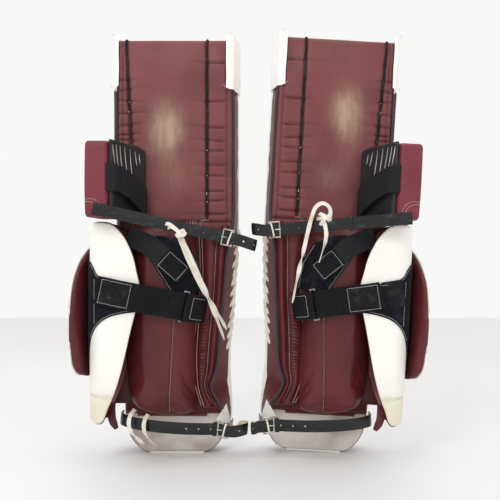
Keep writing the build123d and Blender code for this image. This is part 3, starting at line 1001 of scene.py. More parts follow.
class Seamstress:
    """Sews stitches along lines and sets eyelets at points, with one node tree for each."""

    def __init__(self) -> None:
        """Builds the node trees."""
        self.stitches = self._stitch_tree()
        self.eyelets = self._eyelet_tree()

    @staticmethod
    def _new_tree(name: str, sizes: Sequence[str]) -> tuple[bpy.types.NodeTree, Callable]:
        """A tree with a mesh, sizes and a material as inputs, and a function that adds nodes to it."""
        tree = bpy.data.node_groups.new(name, "GeometryNodeTree")
        tree.interface.new_socket("Mesh", in_out="INPUT", socket_type="NodeSocketGeometry")
        for size in sizes:
            tree.interface.new_socket(size, in_out="INPUT", socket_type="NodeSocketFloat")
        tree.interface.new_socket("Finish", in_out="INPUT", socket_type="NodeSocketMaterial")
        tree.interface.new_socket("Mesh", in_out="OUTPUT", socket_type="NodeSocketGeometry")

        def add(kind: str, settings: dict | None = None, **inputs: object) -> bpy.types.Node:
            """Adds a node with its properties and its input sockets, given by name."""
            made = tree.nodes.new(kind)
            for key, value in (settings or {}).items():
                setattr(made, key, value)
            for key, value in inputs.items():
                socket = made.inputs[key.replace("_", " ")]
                if isinstance(value, bpy.types.NodeSocket):
                    tree.links.new(value, socket)
                else:
                    socket.default_value = value
            return made

        return tree, add

    @staticmethod
    def _close_tree(add: Callable, instances: bpy.types.NodeSocket, finish: bpy.types.NodeSocket) -> None:
        """Ends a tree with real meshes and their material."""
        real = add("GeometryNodeRealizeInstances", Geometry=instances)
        painted = add("GeometryNodeSetMaterial", Geometry=real.outputs[0], Material=finish)
        add("NodeGroupOutput", Mesh=painted.outputs[0])

    def _stitch_tree(self) -> bpy.types.NodeTree:
        """Short rounded threads, end to end along the edges of a mesh of lines."""
        tree, add = self._new_tree("stitch_line", ("Pitch", "Length", "Radius"))
        given = add("NodeGroupInput")
        curve = add("GeometryNodeMeshToCurve", Mesh=given.outputs["Mesh"])
        places = add("GeometryNodeResampleCurve", {"mode": "LENGTH"}, Curve=curve.outputs[0],
                     Length=given.outputs["Pitch"])
        tangent = add("GeometryNodeInputTangent")
        turn = add("FunctionNodeAlignRotationToVector", {"axis": "X"}, Vector=tangent.outputs[0])
        uneven = add("FunctionNodeRandomValue", {"data_type": "FLOAT"}, Seed=SEED)
        uneven.inputs[2].default_value = 0.82
        uneven.inputs[3].default_value = 1.1
        half = add("ShaderNodeMath", {"operation": "MULTIPLY"})
        tree.links.new(given.outputs["Length"], half.inputs[0])
        tree.links.new(uneven.outputs[1], half.inputs[1])
        size = add("ShaderNodeCombineXYZ", X=half.outputs[0], Y=given.outputs["Radius"],
                   Z=given.outputs["Radius"])
        thread = add("GeometryNodeMeshIcoSphere", Radius=1.0, Subdivisions=1)
        placed = add("GeometryNodeInstanceOnPoints", Points=places.outputs[0], Instance=thread.outputs[0],
                     Rotation=turn.outputs[0], Scale=size.outputs[0])
        self._close_tree(add, placed.outputs[0], given.outputs["Finish"])
        return tree

    def _eyelet_tree(self) -> bpy.types.NodeTree:
        """A flat ring at each point, facing along the point's own direction."""
        tree, add = self._new_tree("eyelet_row", ("Radius", "Wire"))
        given = add("NodeGroupInput")
        ring = add("GeometryNodeCurvePrimitiveCircle", Radius=given.outputs["Radius"], Resolution=14)
        wire = add("GeometryNodeCurvePrimitiveCircle", Radius=given.outputs["Wire"], Resolution=6)
        eyelet = add("GeometryNodeCurveToMesh", Curve=ring.outputs[0])
        tree.links.new(wire.outputs[0], eyelet.inputs["Profile Curve"])
        facing = add("GeometryNodeInputNamedAttribute", {"data_type": "FLOAT_VECTOR"}, Name="facing")
        turn = add("FunctionNodeAlignRotationToVector", {"axis": "Z"}, Vector=facing.outputs[0])
        placed = add("GeometryNodeInstanceOnPoints", Points=given.outputs["Mesh"],
                     Instance=eyelet.outputs[0],
                     Rotation=turn.outputs[0])
        self._close_tree(add, placed.outputs[0], given.outputs["Finish"])
        return tree

    @staticmethod
    def _grown(name: str, seed: bpy.types.Mesh, tree: bpy.types.NodeTree, values: dict) -> bpy.types.Object:
        """A plain mesh object from what a tree makes of a seed mesh.

        Args:
            name: The piece's name.
            seed: The lines or points to start from.
            tree: The node tree.
            values: Its inputs, by name.

        Returns:
            The piece, with no modifier.
        """
        grower = linked(seed)
        modifier = grower.modifiers.new("nodes", "NODES")
        modifier.node_group = tree
        for item in tree.interface.items_tree:
            if item.in_out == "INPUT" and item.name in values:
                modifier[item.identifier] = values[item.name]
        evaluated = grower.evaluated_get(bpy.context.evaluated_depsgraph_get())
        mesh = bpy.data.meshes.new_from_object(evaluated)
        bpy.data.objects.remove(grower)
        bpy.data.meshes.remove(seed)
        mesh.name = name
        mesh.shade_smooth()
        return linked(mesh)

    def sew(self, name: str, lines: Sequence[np.ndarray], finish: bpy.types.Material,
            gauge: Gauge = Gauge()) -> bpy.types.Object:
        """Stitches along row-frame lines.

        Args:
            name: The piece's name.
            lines: The lines, each an array of points in metres.
            finish: The thread's material.
            gauge: The kind of seam.

        Returns:
            The stitches as one piece.
        """
        points, edges = [], []
        for line in lines:
            edges += [(len(points) + i, len(points) + i + 1) for i in range(len(line) - 1)]
            points += [tuple(p) for p in line]
        seed = bpy.data.meshes.new(name + ".lines")
        seed.from_pydata(points, edges, [])
        return self._grown(name, seed, self.stitches, {
            "Pitch": gauge.pitch * MM, "Length": gauge.length / 2 * MM, "Radius": gauge.radius * MM,
            "Finish": finish})

    def set_eyelets(self, name: str, points: np.ndarray, facing: np.ndarray, finish: bpy.types.Material,
                    radius: float = 2.2, wire: float = 0.7) -> bpy.types.Object:
        """Rings at row-frame points, each facing its own way.

        Args:
            name: The piece's name.
            points: Where they are, in metres.
            facing: Which way each one looks.
            finish: Their material.
            radius: Of a ring, in millimetres.
            wire: Radius of its rolled edge, in millimetres.

        Returns:
            The rings as one piece.
        """
        seed = bpy.data.meshes.new(name + ".points")
        seed.from_pydata([tuple(p) for p in points], [], [])
        layer = seed.attributes.new("facing", "FLOAT_VECTOR", "POINT")
        layer.data.foreach_set("vector", np.asarray(facing, np.float32).reshape(-1))
        return self._grown(name, seed, self.eyelets, {"Radius": radius * MM, "Wire": wire * MM,
                                                      "Finish": finish})


# ------------------------------------------------------------------ grids that the sub-assemblies share
def panel_grid(rows: np.ndarray, left: Callable, right: Callable, depth: Callable, step: float = 4.0,
               rim: float = 8.0) -> np.ndarray:
    """A grid over an outline between two side lines, at a depth given by a function.

    Args:
        rows: Heights of its rows.
        left: x of its left edge at a height.
        right: x of its right edge at a height.
        depth: Depth at (x, z).
        step: How far apart its columns are.
        rim: How wide its finer edge columns are.

    Returns:
        The grid.
    """
    widest = float(np.max(right(rows) - left(rows)))
    share = rim_steps(widest, step, rim) / widest
    low, high = left(rows)[:, None], right(rows)[:, None]
    x = low + (high - low) * share[None, :]
    z = np.broadcast_to(rows[:, None], x.shape)
    return np.stack([x, depth(x, z), z], axis=-1)


def upright_grid(plan: np.ndarray, low: Callable, high: Callable, step: float = 4.0, rim: float = 6.0,
                 ) -> np.ndarray:
    """A grid that stands on a line seen from above, between a lower and an upper edge.

    Args:
        plan: (x, depth) points of the line.
        low: z of the lower edge at each x.
        high: z of the upper edge at each x.
        step: How far apart its rows are.
        rim: How high its finer edge rows are.

    Returns:
        The grid.
    """
    bottom, top = low(plan[:, 0]), high(plan[:, 0])
    tallest = float(np.max(top - bottom))
    share = rim_steps(tallest, step, rim) / tallest
    z = bottom[None] + (top - bottom)[None] * share[:, None]
    x = np.broadcast_to(plan[None, :, 0], z.shape)
    return np.stack([x, np.broadcast_to(plan[None, :, 1], z.shape), z], axis=-1)


def sloped(points: np.ndarray, degrees: float, x: float, z: float) -> np.ndarray:
    """Points turned in the plane of the blocking face, so that their lateral end sinks."""
    angle = math.radians(degrees)
    turned = points.copy()
    run, rise = points[..., 0] - x, points[..., 2] - z
    turned[..., 0] = x + run * math.cos(angle) + rise * math.sin(angle)
    turned[..., 2] = z - run * math.sin(angle) + rise * math.cos(angle)
    return turned


def side_wall_x(depth: np.ndarray, z: np.ndarray) -> np.ndarray:
    """x of the lateral side wall at a depth and height."""
    return FACE_HALF(z) + (LATERAL_BACK(z) - FACE_HALF(z)) * depth / COVER_DEPTH


# ------------------------------------------------------------------ sub-assemblies
@dataclass
class FrontCover:
    """The white front skin, the burgundy side walls and the white corner caps of one pad.

    Attributes:
        place: The pad.
        cloths: The materials.
        wall: Thickness of the skin.
        corner: Radius of the front edges.
        white_return: How far the white skin wraps onto the side walls.
        split_z: Height of the seam between the upper and the lower skin.
        cap_z: Heights of the corner caps' ends.
        pieces: Its pieces so far, by name.
    """

    place: PadPlace
    cloths: Wardrobe
    wall: float = 3.0
    corner: float = 9.0
    white_return: float = 17.0
    split_z: float = 440.0
    cap_z: tuple[float, float] = (803.0, 921.0)
    grooves: tuple[float, ...] = (690.0, 655.0, 516.0, 300.0, 190.0)
    pieces: dict[str, bpy.types.Object] = field(default_factory=dict)

    def rows(self, upper: bool, wall: float) -> tuple[np.ndarray, np.ndarray]:
        """Heights of the skin's rows, and the least depth of each, which closes its end wall."""
        turn = np.linspace(0, math.pi / 2, 6)[1:]
        end = np.linspace(self.corner, COVER_DEPTH, 8)[1:]
        bend = self.corner * np.sin(turn), self.corner * (1 - np.cos(turn))
        if upper:
            top = PAD_TOP - wall
            plain = np.linspace(self.split_z, top - self.corner, 118)[:-1]
            z = np.concatenate([plain, top - self.corner + bend[0], np.full(len(end), top)])
        else:
            bottom = BOOT_BOTTOM + wall
            plain = np.linspace(self.split_z, bottom + self.corner, 106)[:-1]
            z = np.concatenate([plain, bottom + self.corner - bend[0], np.full(len(end), bottom)])
        return z, np.concatenate([np.zeros(len(plain)), bend[1], end])

    def skin(self, upper: bool, wall: float) -> tuple[np.ndarray, np.ndarray]:
        """The grid round the front and both side walls, and each column's share of the way round."""
        z, least = self.rows(upper, wall)
        z, least = z[:, None], least[:, None]
        half, lateral = FACE_HALF(z) - wall, LATERAL_BACK(z) - wall
        medial = -(FACE_HALF(z) - BACK_INSET) + wall
        down = np.linspace(0, 1, 13)[None]
        turn = np.linspace(0, math.pi / 2, 6)[None, 1:]
        across = np.linspace(1, -1, 58)[None, 1:-1]
        r = self.corner
        wall_depth = COVER_DEPTH + (wall + r - COVER_DEPTH) * down
        x = np.concatenate([lateral + (half - lateral) * down, half - r + r * np.cos(turn),
                            (half - r) * across,
                            -(half - r + r * np.cos(turn))[:, ::-1],
                            (medial - (half + medial) * down)[:, ::-1]], axis=1)
        front = np.zeros_like(across) + wall
        depth = np.concatenate([wall_depth, wall + r - r * np.sin(turn), front,
                                (wall + r - r * np.sin(turn))[:, ::-1], wall_depth[:, ::-1]], axis=1)
        z = np.broadcast_to(z, x.shape)
        depth = np.broadcast_to(depth, x.shape).copy()
        flat = depth < wall + 0.01
        fold = sum(bell(z - level, 3.2) for level in self.grooves) * 2.2
        fold = fold + bell(np.abs(x) - 96, 2.2) * 1.4 - 0.5 - 0.4 * ripple(x, z, 46, 1)
        depth += np.where(flat, np.clip(fold, -0.6, 3) * rounded(FACE_HALF(z) - r - np.abs(x), 14), 0)
        creased = rounded(COVER_DEPTH - depth, 16) * (depth > wall + r) * ripple(x, z * 2.6, 17, 2)
        x = x - np.sign(x) * np.maximum(0, creased) * 1.1
        depth = np.maximum(depth, np.broadcast_to(least, x.shape) + wall * (least > 0))
        depth = np.minimum(depth, COVER_DEPTH)
        taper = np.clip((depth - wall - r) / (COVER_DEPTH - wall - r), 0, 1)
        x = np.clip(x, -half + (medial + half) * taper, half + (lateral - half) * taper)
        grid = boot_bend(np.stack([x, depth, z], axis=-1))
        return grid, depth

    def build_skins(self) -> None:
        """Cuts each skin into a white front and two burgundy side walls, which share their seams."""
        for upper in (True, False):
            outer, depth = self.skin(upper, 0.0)
            inner, _ = self.skin(upper, self.wall)
            first = int(np.argmax(depth[0] < self.white_return))
            last = outer.shape[1] - first
            level = "upper" if upper else "lower"
            follow = Follow.THIGH_BREAK if upper else Follow.BOOT_BREAK
            stands_for = ["thigh_cover"] if upper else ["shin_cover", "boot_cover"]
            cuts = {"front_skin": (first - 1, last + 1, "white"), "side_wall_lateral": (0, first, "deep"),
                    "side_wall_medial": (last, outer.shape[1], "deep")}
            for name, (start, stop, cloth) in cuts.items():
                top, bottom = outer[:, start:stop], inner[:, start:stop]
                scuff = 0.0 if name != "front_skin" else 0.35 * np.clip(ripple(top[..., 0], top[..., 2], 60,
                                                                               3), 0, 1)
                form = Form().sheet(top, bottom, wear=scuff)
                piece = form.build(f"{name}_{level}", self.place, [self.cloths[cloth]])
                slot = "white_synthetic" if cloth == "white" else "burgundy_leather"
                self.place.dress(piece, follow, slot, stands_for if name == "front_skin" else ())
                self.pieces[f"{name}_{level}"] = piece

    def build_caps(self) -> None:
        """The white caps that wrap from the side walls onto the lining at the top corners."""
        paths = {"lateral": [(141.5, 10), (139.5, 28), (131, 57), (130, 67), (124, 73.5), (112, 73.5)],
                 "medial": [(-141.5, 10), (-139.5, 28), (-131.5, 56), (-131, 66), (-127, 72), (-121, 72.5)]}
        for name, path in paths.items():
            plan = line_through(path, 2.5)
            drop = 4.0 if name == "lateral" else 9.0
            inner = abs(path[-1][0])

            def low(x: np.ndarray) -> np.ndarray:
                """The cap's lower edge at x."""
                return self.cap_z[0] + drop * smoothstep((inner + 9 - np.abs(x)) / 9)

            def high(x: np.ndarray) -> np.ndarray:
                """The cap's upper edge at x."""
                return self.cap_z[1] - 2.5 * smoothstep((np.abs(x) - inner) / 30)

            grid = upright_grid(plan, low, high, 3.5, 3.0)
            grid[..., 1] += 0.5 * ripple(grid[..., 0] * 2, grid[..., 2], 12, 4)
            grid[..., 0] += np.sign(path[0][0]) * 0.5 * ripple(grid[..., 0], grid[..., 2], 14, 5)
            piece = Form().shell(grid, 2.0, 1.6, wear=0.1).build(f"corner_cap_{name}", self.place,
                                                                 [self.cloths["white"]])
            self.place.dress(piece, Follow.THIGH, "white_synthetic")
            self.pieces[f"corner_cap_{name}"] = piece

    def sew_seams(self, seamstress: Seamstress) -> None:
        """Stitches beside the front skin's folds and along the caps' edges."""
        for level, heights, follow in (("upper", (690, 655, 516), Follow.THIGH_BREAK),
                                       ("lower", (300, 190), Follow.BOOT_BREAK)):
            skin = Surface(self.pieces[f"front_skin_{level}"])
            lines = []
            for z in heights:
                for offset in (-7, 7):
                    half = float(FACE_HALF(z)) - 14
                    lines.append(skin.under(self.place,
                                            evenly(np.array([(-half, z + offset), (half, z + offset)]),
                                                               5), 0.2, front=True))
            piece = seamstress.sew(self.place.node(f"front_stitches_{level}"), lines, self.cloths["thread"])
            self.place.dress(piece, follow, "stitching")
        caps = Surface(self.pieces["corner_cap_lateral"], self.pieces["corner_cap_medial"])
        low, high = self.cap_z
        edges = [caps.under(self.place, evenly(np.array([(x, low + 12), (x, high - 5)]), 4), 0.25)
                 for x in (115.0, 129.0, -123.0, -129.5)]
        piece = seamstress.sew(self.place.node("cap_stitches"), edges, self.cloths["thread"],
                               Gauge(6, 4.2, 0.55))
        self.place.dress(piece, Follow.THIGH, "stitching")
        ends = Form()
        for x, z, lean in ((-133.0, 919.0, -4.0), (120.0, 919.5, 3.0), (-135.0, 806.0, -4.0),
                           (112.0, 806.0, -7.0)):
            tail = line_through([(x, 72, z), (x + lean * 0.4, 73, z + 5), (x + lean, 72, z + 8)], 1.0)
            ends.tube(tail, np.linspace(0.7, 0.35, len(tail)), 5)
        tails = ends.build("cap_thread_ends", self.place, [self.cloths["thread"]])
        self.place.dress(tails, Follow.THIGH, "stitching")

    def lace_edge(self, seamstress: Seamstress) -> None:
        """The white lacing that whips round the lateral edge beside the knee and calf."""
        form, holes, facing = Form(), [], []
        rng = np.random.default_rng(SEED + (3 if self.place.side is Side.LEFT else 2))
        for z in np.arange(500.0, 268.0, -23.0):
            top, bottom = z + rng.uniform(-2, 2), z - 34 + rng.uniform(-3, 3)
            levels = np.array([top, top - 4, (top + bottom) / 2, bottom + 4, bottom])
            depths = np.array([13, 11, 15 + rng.uniform(-3, 3), 24, 29]) + rng.uniform(-2, 2)
            lift = np.array([-1.0, 2.4, 3.6, 2.4, -1.0])
            knots = np.stack([side_wall_x(depths, levels) + lift, depths, levels], axis=1)
            line = line_through(knots, 1.6)
            form.ribbon(line, np.array((0.75, 0.8, 0.0)), rng.uniform(7.4, 9.4), 1.8, wear=0.05)
            for end in (0, -1):
                holes.append(self.place.world(knots[end] + (1.2, 0, 0)))
                facing.append(np.array(self.place.across))
        piece = form.build("edge_lacing", self.place, [self.cloths["lace"]])
        self.place.dress(piece, Follow.SHIN, "lace_cotton")
        rings = seamstress.set_eyelets(self.place.node("edge_eyelets"), np.array(holes), np.array(facing),
                                       self.cloths["steel"], 2.6, 0.7)
        self.place.dress(rings, Follow.SHIN, "eyelet_metal")

    def build(self, seamstress: Seamstress) -> None:
        """Builds and dresses every piece of the cover."""
        self.build_skins()
        self.build_caps()
        self.sew_seams(seamstress)
        self.lace_edge(seamstress)


@dataclass
class LegLining:
    """The quilted lining behind the thigh and knee, the pleated lateral band, its pipings and cords.

    Attributes:
        place: The pad.
        cloths: The materials.
        thickness: Of the quilted lining.
        patch: x and z of the place that the knee has rubbed.
        band_inset: How far the lateral band's inner seam is moved, in towards the middle.
    """

    place: PadPlace
    cloths: Wardrobe
    thickness: float = 9.6
    patch: tuple[float, float] = (-14.0, 722.0)
    band_inset: float = 0.0
    lateral_x: float = 70.0
    lateral_folds: tuple[float, ...] = (862.0, 778.0, 722.0, 694.0, 670.0, 640.0, 617.0, 583.0, 561.0, 533.0)
    medial_folds: tuple[float, ...] = (824.0, 803.0, 778.0, 752.0, 726.0, 706.0, 692.0)
    pieces: dict[str, bpy.types.Object] = field(default_factory=dict)

    def medial_x(self, z: np.ndarray) -> np.ndarray:
        """x of the medial channel at a height."""
        return np.interp(z, (500, THIGH_BREAK_Z, PAD_TOP), (-92, -95, -106))

    def folds(self, x: np.ndarray, z: np.ndarray) -> tuple[np.ndarray, np.ndarray]:
        """How far the quilting stands out and how much it is creased, at (x, z)."""
        lateral, medial = x - self.lateral_x, x - self.medial_x(z)
        channel = bell(lateral, 4.5) * smoothstep((z - 520) / 14) + bell(medial,
                                                                         4.5) * smoothstep((z - 560) / 30)
        rng = np.random.default_rng(SEED)
        crease = np.zeros_like(x)
        for level in self.lateral_folds:
            tilt, reach = rng.uniform(-0.09, 0.05), rng.uniform(10, 22)
            line = z - level - tilt * lateral
            column = np.where(lateral > 0, smoothstep((48 - lateral) / 14), np.exp(lateral / reach) * 0.8)
            crease += bell(line, 2.6) * column
        for level in self.medial_folds:
            tilt, reach = rng.uniform(-0.12, 0.25), rng.uniform(10, 20)
            line = z - level - tilt * medial
            crease += bell(line, 2.4) * np.where(medial < 0, 0.9, np.exp(-medial / reach))
        seam = bell(z - KNEE_SEAM_Z, 2.4) + 0.9 * bell(x - 113.5, 2.2) + 0.8 * bell(x + 113.5, 2.2)
        dent = np.clip(channel + crease * 0.75 + seam * 0.8, 0, 1.25)
        pillow = -0.9 * bell(np.mod(z, 27) - 13, 5) * (lateral > 4) * (z < 700)
        return -4.3 * dent + 0.8 * ripple(x, z, 34, 11) + 0.35 * ripple(x, z, 11, 12) - pillow * 0.6, dent

    def depth(self, x: np.ndarray, z: np.ndarray) -> np.ndarray:
        """Depth of the quilted lining's back at (x, z)."""
        relief, _ = self.folds(x, z)
        limit = np.where((x < -50) & (z < 682), 0.0, 2.6)
        return COVER_DEPTH + 0.6 + self.thickness + np.minimum(relief, limit)

    def build_quilting(self) -> None:
        """The faded lining from the knee seam to the top."""
        rows = BAND_BOTTOM_Z + rim_steps(PAD_TOP - 3 - BAND_BOTTOM_Z, 2.6, 9)
        left, right = lambda z: np.full_like(z, -124.5), lambda z: np.full_like(z, 126.5)
        back = panel_grid(rows, left, right, self.depth, 2.6, 9)
        x, z = back[..., 0], back[..., 2]
        front = back.copy()
        front[..., 1] = COVER_DEPTH + 0.2
        share = rounded(rim_distance(front), 9)
        back[..., 1] = COVER_DEPTH + 0.4 + (back[..., 1] - COVER_DEPTH - 0.4) * share
        px, pz = self.patch
        worn = (0.78 * bell(np.hypot((x - px) / 42, (z - pz) / 58),
                            1) + 0.3 * bell(x - px - 6, 9) * bell(z - pz + 18, 36)
                + 0.34 * bell(x - 4, 46) * bell(z - 612, 46) + 0.22 * bell(x - 4, 70) * bell(z - 890, 60)
                + 0.22 * bell(x - 86, 22) * bell(z - 875, 30) + 0.2 * bell(x + 40, 26) * bell(z - 690, 60))
        # Painted shade: the dents darken the channels, folds and seams, and the shade term adds a painted
        # shadow beside the knee cradle and darker lining below 560 mm.
        _, dent = self.folds(x, z)
        shade = 0.5 * bell(x + 62, 16) * smoothstep((675 - z) / 30) + 0.25 * smoothstep((560 - z) / 60)
        form = Form().sheet(back, front, wear=np.clip(worn, 0, 1), crease=np.clip(dent * 0.8 + shade, 0, 1))
        piece = form.build("quilted_lining", self.place, [self.cloths["faded"]], 60)
        self.place.dress(piece, Follow.THIGH_BREAK, "faded_lining", ["thigh_lining"])
        self.pieces["quilting"] = piece

    def band_edges(self, z: np.ndarray) -> tuple[np.ndarray, np.ndarray]:
        """x of the lateral band's inner seam and outer edge at a height."""
        inner = smooth_table([(106, 66), (119, 62), (150, 52), (203, 47), (270, 49), (351, 58), (430, 60),
                              (514, 56)])
        return inner(z) - self.band_inset, LATERAL_BACK(z) + 0.5

    def band_depth(self, x: np.ndarray, z: np.ndarray) -> np.ndarray:
        """Depth of the pleated band and the roll beside it."""
        inner, outer = self.band_edges(z)
        share = (x - inner) / (outer - inner)
        pleats = 1.5 * self.pleat_wave(z) * smoothstep((z - 165) / 30) * smoothstep((360 - z) / 50) * bell(
            share - 0.3, 0.24)
        pleated = 10.5 * bell(share - 0.3, 0.27)
        roll = 14.0 * bell(share - 0.79, 0.17)
        return SHIN_BACK + 1.5 + np.maximum(pleated, roll) + pleats + 0.7 * ripple(x, z, 22, 13)

    @staticmethod
    def pleat_wave(z: np.ndarray) -> np.ndarray:
        """The pleats' rise and fall at a height, from -1 to 1."""
        return np.sin(z * 0.92 + 0.5 * np.sin(z * 0.21))

    def build_band(self) -> None:
        """The shin's bare lining and the pleated band and roll along its lateral edge."""
        rows = 110 + rim_steps(402, 1.5, 7)
        back = panel_grid(rows, lambda z: self.band_edges(z)[0] - 3, lambda z: self.band_edges(z)[1],
                          self.band_depth, 2.2, 5)
        front = back.copy()
        front[..., 1] = COVER_DEPTH + 0.5
        back[..., 1] = front[..., 1] + (back[..., 1] - front[..., 1]) * rounded(rim_distance(front), 6)
        inner, outer = self.band_edges(back[..., 2])
        share = (back[..., 0] - inner) / (outer - inner)
        # Painted shade: darker in the valley between the pleats and the roll, along the outer edge and in
        # the pleats' troughs; the bare lining underneath is darkened all over.
        dark = 0.9 * bell(share - 0.56, 0.06) + 0.5 * bell(share - 1.0, 0.07)
        dark = dark + 0.7 * np.clip(-self.pleat_wave(back[..., 2]), 0, 1) * bell(share - 0.3, 0.2) * bell(
            back[..., 2] - 262, 90)
        bare_rows = BOOT_BREAK_Z + rim_steps(KNEE_SEAM_Z - BOOT_BREAK_Z - 6, 8, 3)
        bare = panel_grid(bare_rows, lambda z: -FACE_HALF(z) + BACK_INSET + 2, lambda z: LATERAL_BACK(z) - 8,
                          lambda x, z: np.full_like(x, SHIN_BACK) + 0.4 * ripple(x, z, 25, 14), 8, 3)
        under = bare.copy()
        under[..., 1] = COVER_DEPTH + 0.2
        form = Form().sheet(bare, under, crease=0.5).sheet(back, front, crease=np.clip(dark, 0, 1))
        piece = form.build("pleated_band", self.place, [self.cloths["deep"]], 60)
        self.place.dress(piece, Follow.SHIN, "burgundy_leather", ["leg_lining"])
        self.pieces["band"] = piece

    def build_pipings(self) -> None:
        """Charcoal piping along both back edges, and a burgundy welt beside it."""
        heights = np.arange(801.0, 107.0, -4.0)
        lateral = np.stack([LATERAL_BACK(heights) + 2.0,
                            np.interp(heights, (110, 190, 516, 530), (70, 68, 66, 64.5)),
                            heights], axis=1)
        medial_heights = np.arange(801.0, 522.0, -4.0)
        medial = np.stack([np.full_like(medial_heights, -128.0), np.full_like(medial_heights, 64.0),
                           medial_heights], axis=1)
        for name, line, radius in (("lateral_piping", lateral, 3.1), ("medial_piping", medial, 4.6)):
            line = line + 0.35 * ripple(line[:, :1], line[:, 2:], 16, 15)
            piece = Form().tube(line, radius, 10).build(name, self.place, [self.cloths["piping"]])
            self.place.dress(piece, Follow.THIGH_BREAK, "piping")
        levels = np.arange(512.0, 112.0, -4.0)
        form = Form()
        for offset in (1.0, -4.5):
            inner, _ = self.band_edges(levels)
            form.tube(np.stack([inner + offset, np.full_like(levels, 73.5 - abs(offset - 1) * 0.5), levels],
                               axis=1),
                      1.7, 8, wear=0.35)
        piece = form.build("cushion_welt", self.place, [self.cloths["deep"]])
        self.place.dress(piece, Follow.SHIN, "burgundy_leather")
        self.pieces["welt"] = piece

    def build_cords(self) -> None:
        """Black cords that lie in the quilting's two channels."""
        for name, top, bottom, where in (
                ("lateral_channel_cord", 913.0, 521.0, lambda z: np.full_like(z, self.lateral_x)),
                ("medial_channel_cord", 913.0, 686.0, self.medial_x)):
            z = np.arange(top, bottom, -3.0)
            x = where(z) + 0.6 * np.sin(z / 9) + 0.4 * np.sin(z / 23)
            depth = self.depth(x, z) + 0.9
            depth[0] -= 6.0
            knots = sum(bell(z - level, 5) for level in (*self.lateral_folds, *self.medial_folds))
            form = Form().tube(np.stack([x, depth, z], axis=1), 2.9 + 0.9 * np.clip(knots, 0, 1), 8)
            piece = form.build(name, self.place, [self.cloths["cord"]])
            self.place.dress(piece, Follow.THIGH_BREAK, "black_elastic")

    def sew_seams(self, seamstress: Seamstress) -> None:
        """Knots in the channels, bar tacks over the knee seam and the band's seams."""
        surface = Surface(self.pieces["quilting"])
        knots = [(self.lateral_x, z) for z in (672, 616, 577, 559)]
        knots += [(float(self.medial_x(np.array(z))), z) for z in (777, 756, 692)]
        dots = [surface.under(self.place, np.array([(x - 1.5, z + 1), (x, z), (x + 1.5, z - 1)]), 3.4)
                for x, z in knots]
        tacks = [((x, 506), (x + 4, 519)) for x in (-47, -41, -35, 23, 30, 36, 42)]
        tacks += [((48, 506), (64, 520)), ((56, 519), (72, 520)), ((-100, 512), (-86, 512))]
        lines = [surface.under(self.place, evenly(np.array(tack), 2), 0.3) for tack in tacks]
        piece = seamstress.sew(self.place.node("knot_stitches"), dots, self.cloths["thread"],
                               Gauge(3, 2.6, 0.9))
        self.place.dress(piece, Follow.THIGH_BREAK, "stitching")
        piece = seamstress.sew(self.place.node("bar_tacks"), lines, self.cloths["thread"],
                               Gauge(3.4, 3.6, 0.4))
        self.place.dress(piece, Follow.SHIN, "stitching")
        band = Surface(self.pieces["band"], self.pieces["welt"])
        levels = np.arange(508.0, 116.0, -4.0)
        inner, outer = self.band_edges(levels)
        seams = [band.under(self.place, np.stack([x, levels], axis=1), 0.3)
                 for x in (inner - 4.5, inner + 1.2, inner + (outer - inner) * 0.56)]
        piece = seamstress.sew(self.place.node("band_stitches"), seams, self.cloths["thread"],
                               Gauge(4.4, 3.6, 0.5))
        self.place.dress(piece, Follow.SHIN, "stitching")

    def build(self, seamstress: Seamstress) -> None:
        """Builds and dresses every piece of the lining."""
        self.build_quilting()
        self.build_band()
        self.build_pipings()
        self.build_cords()
        self.sew_seams(seamstress)


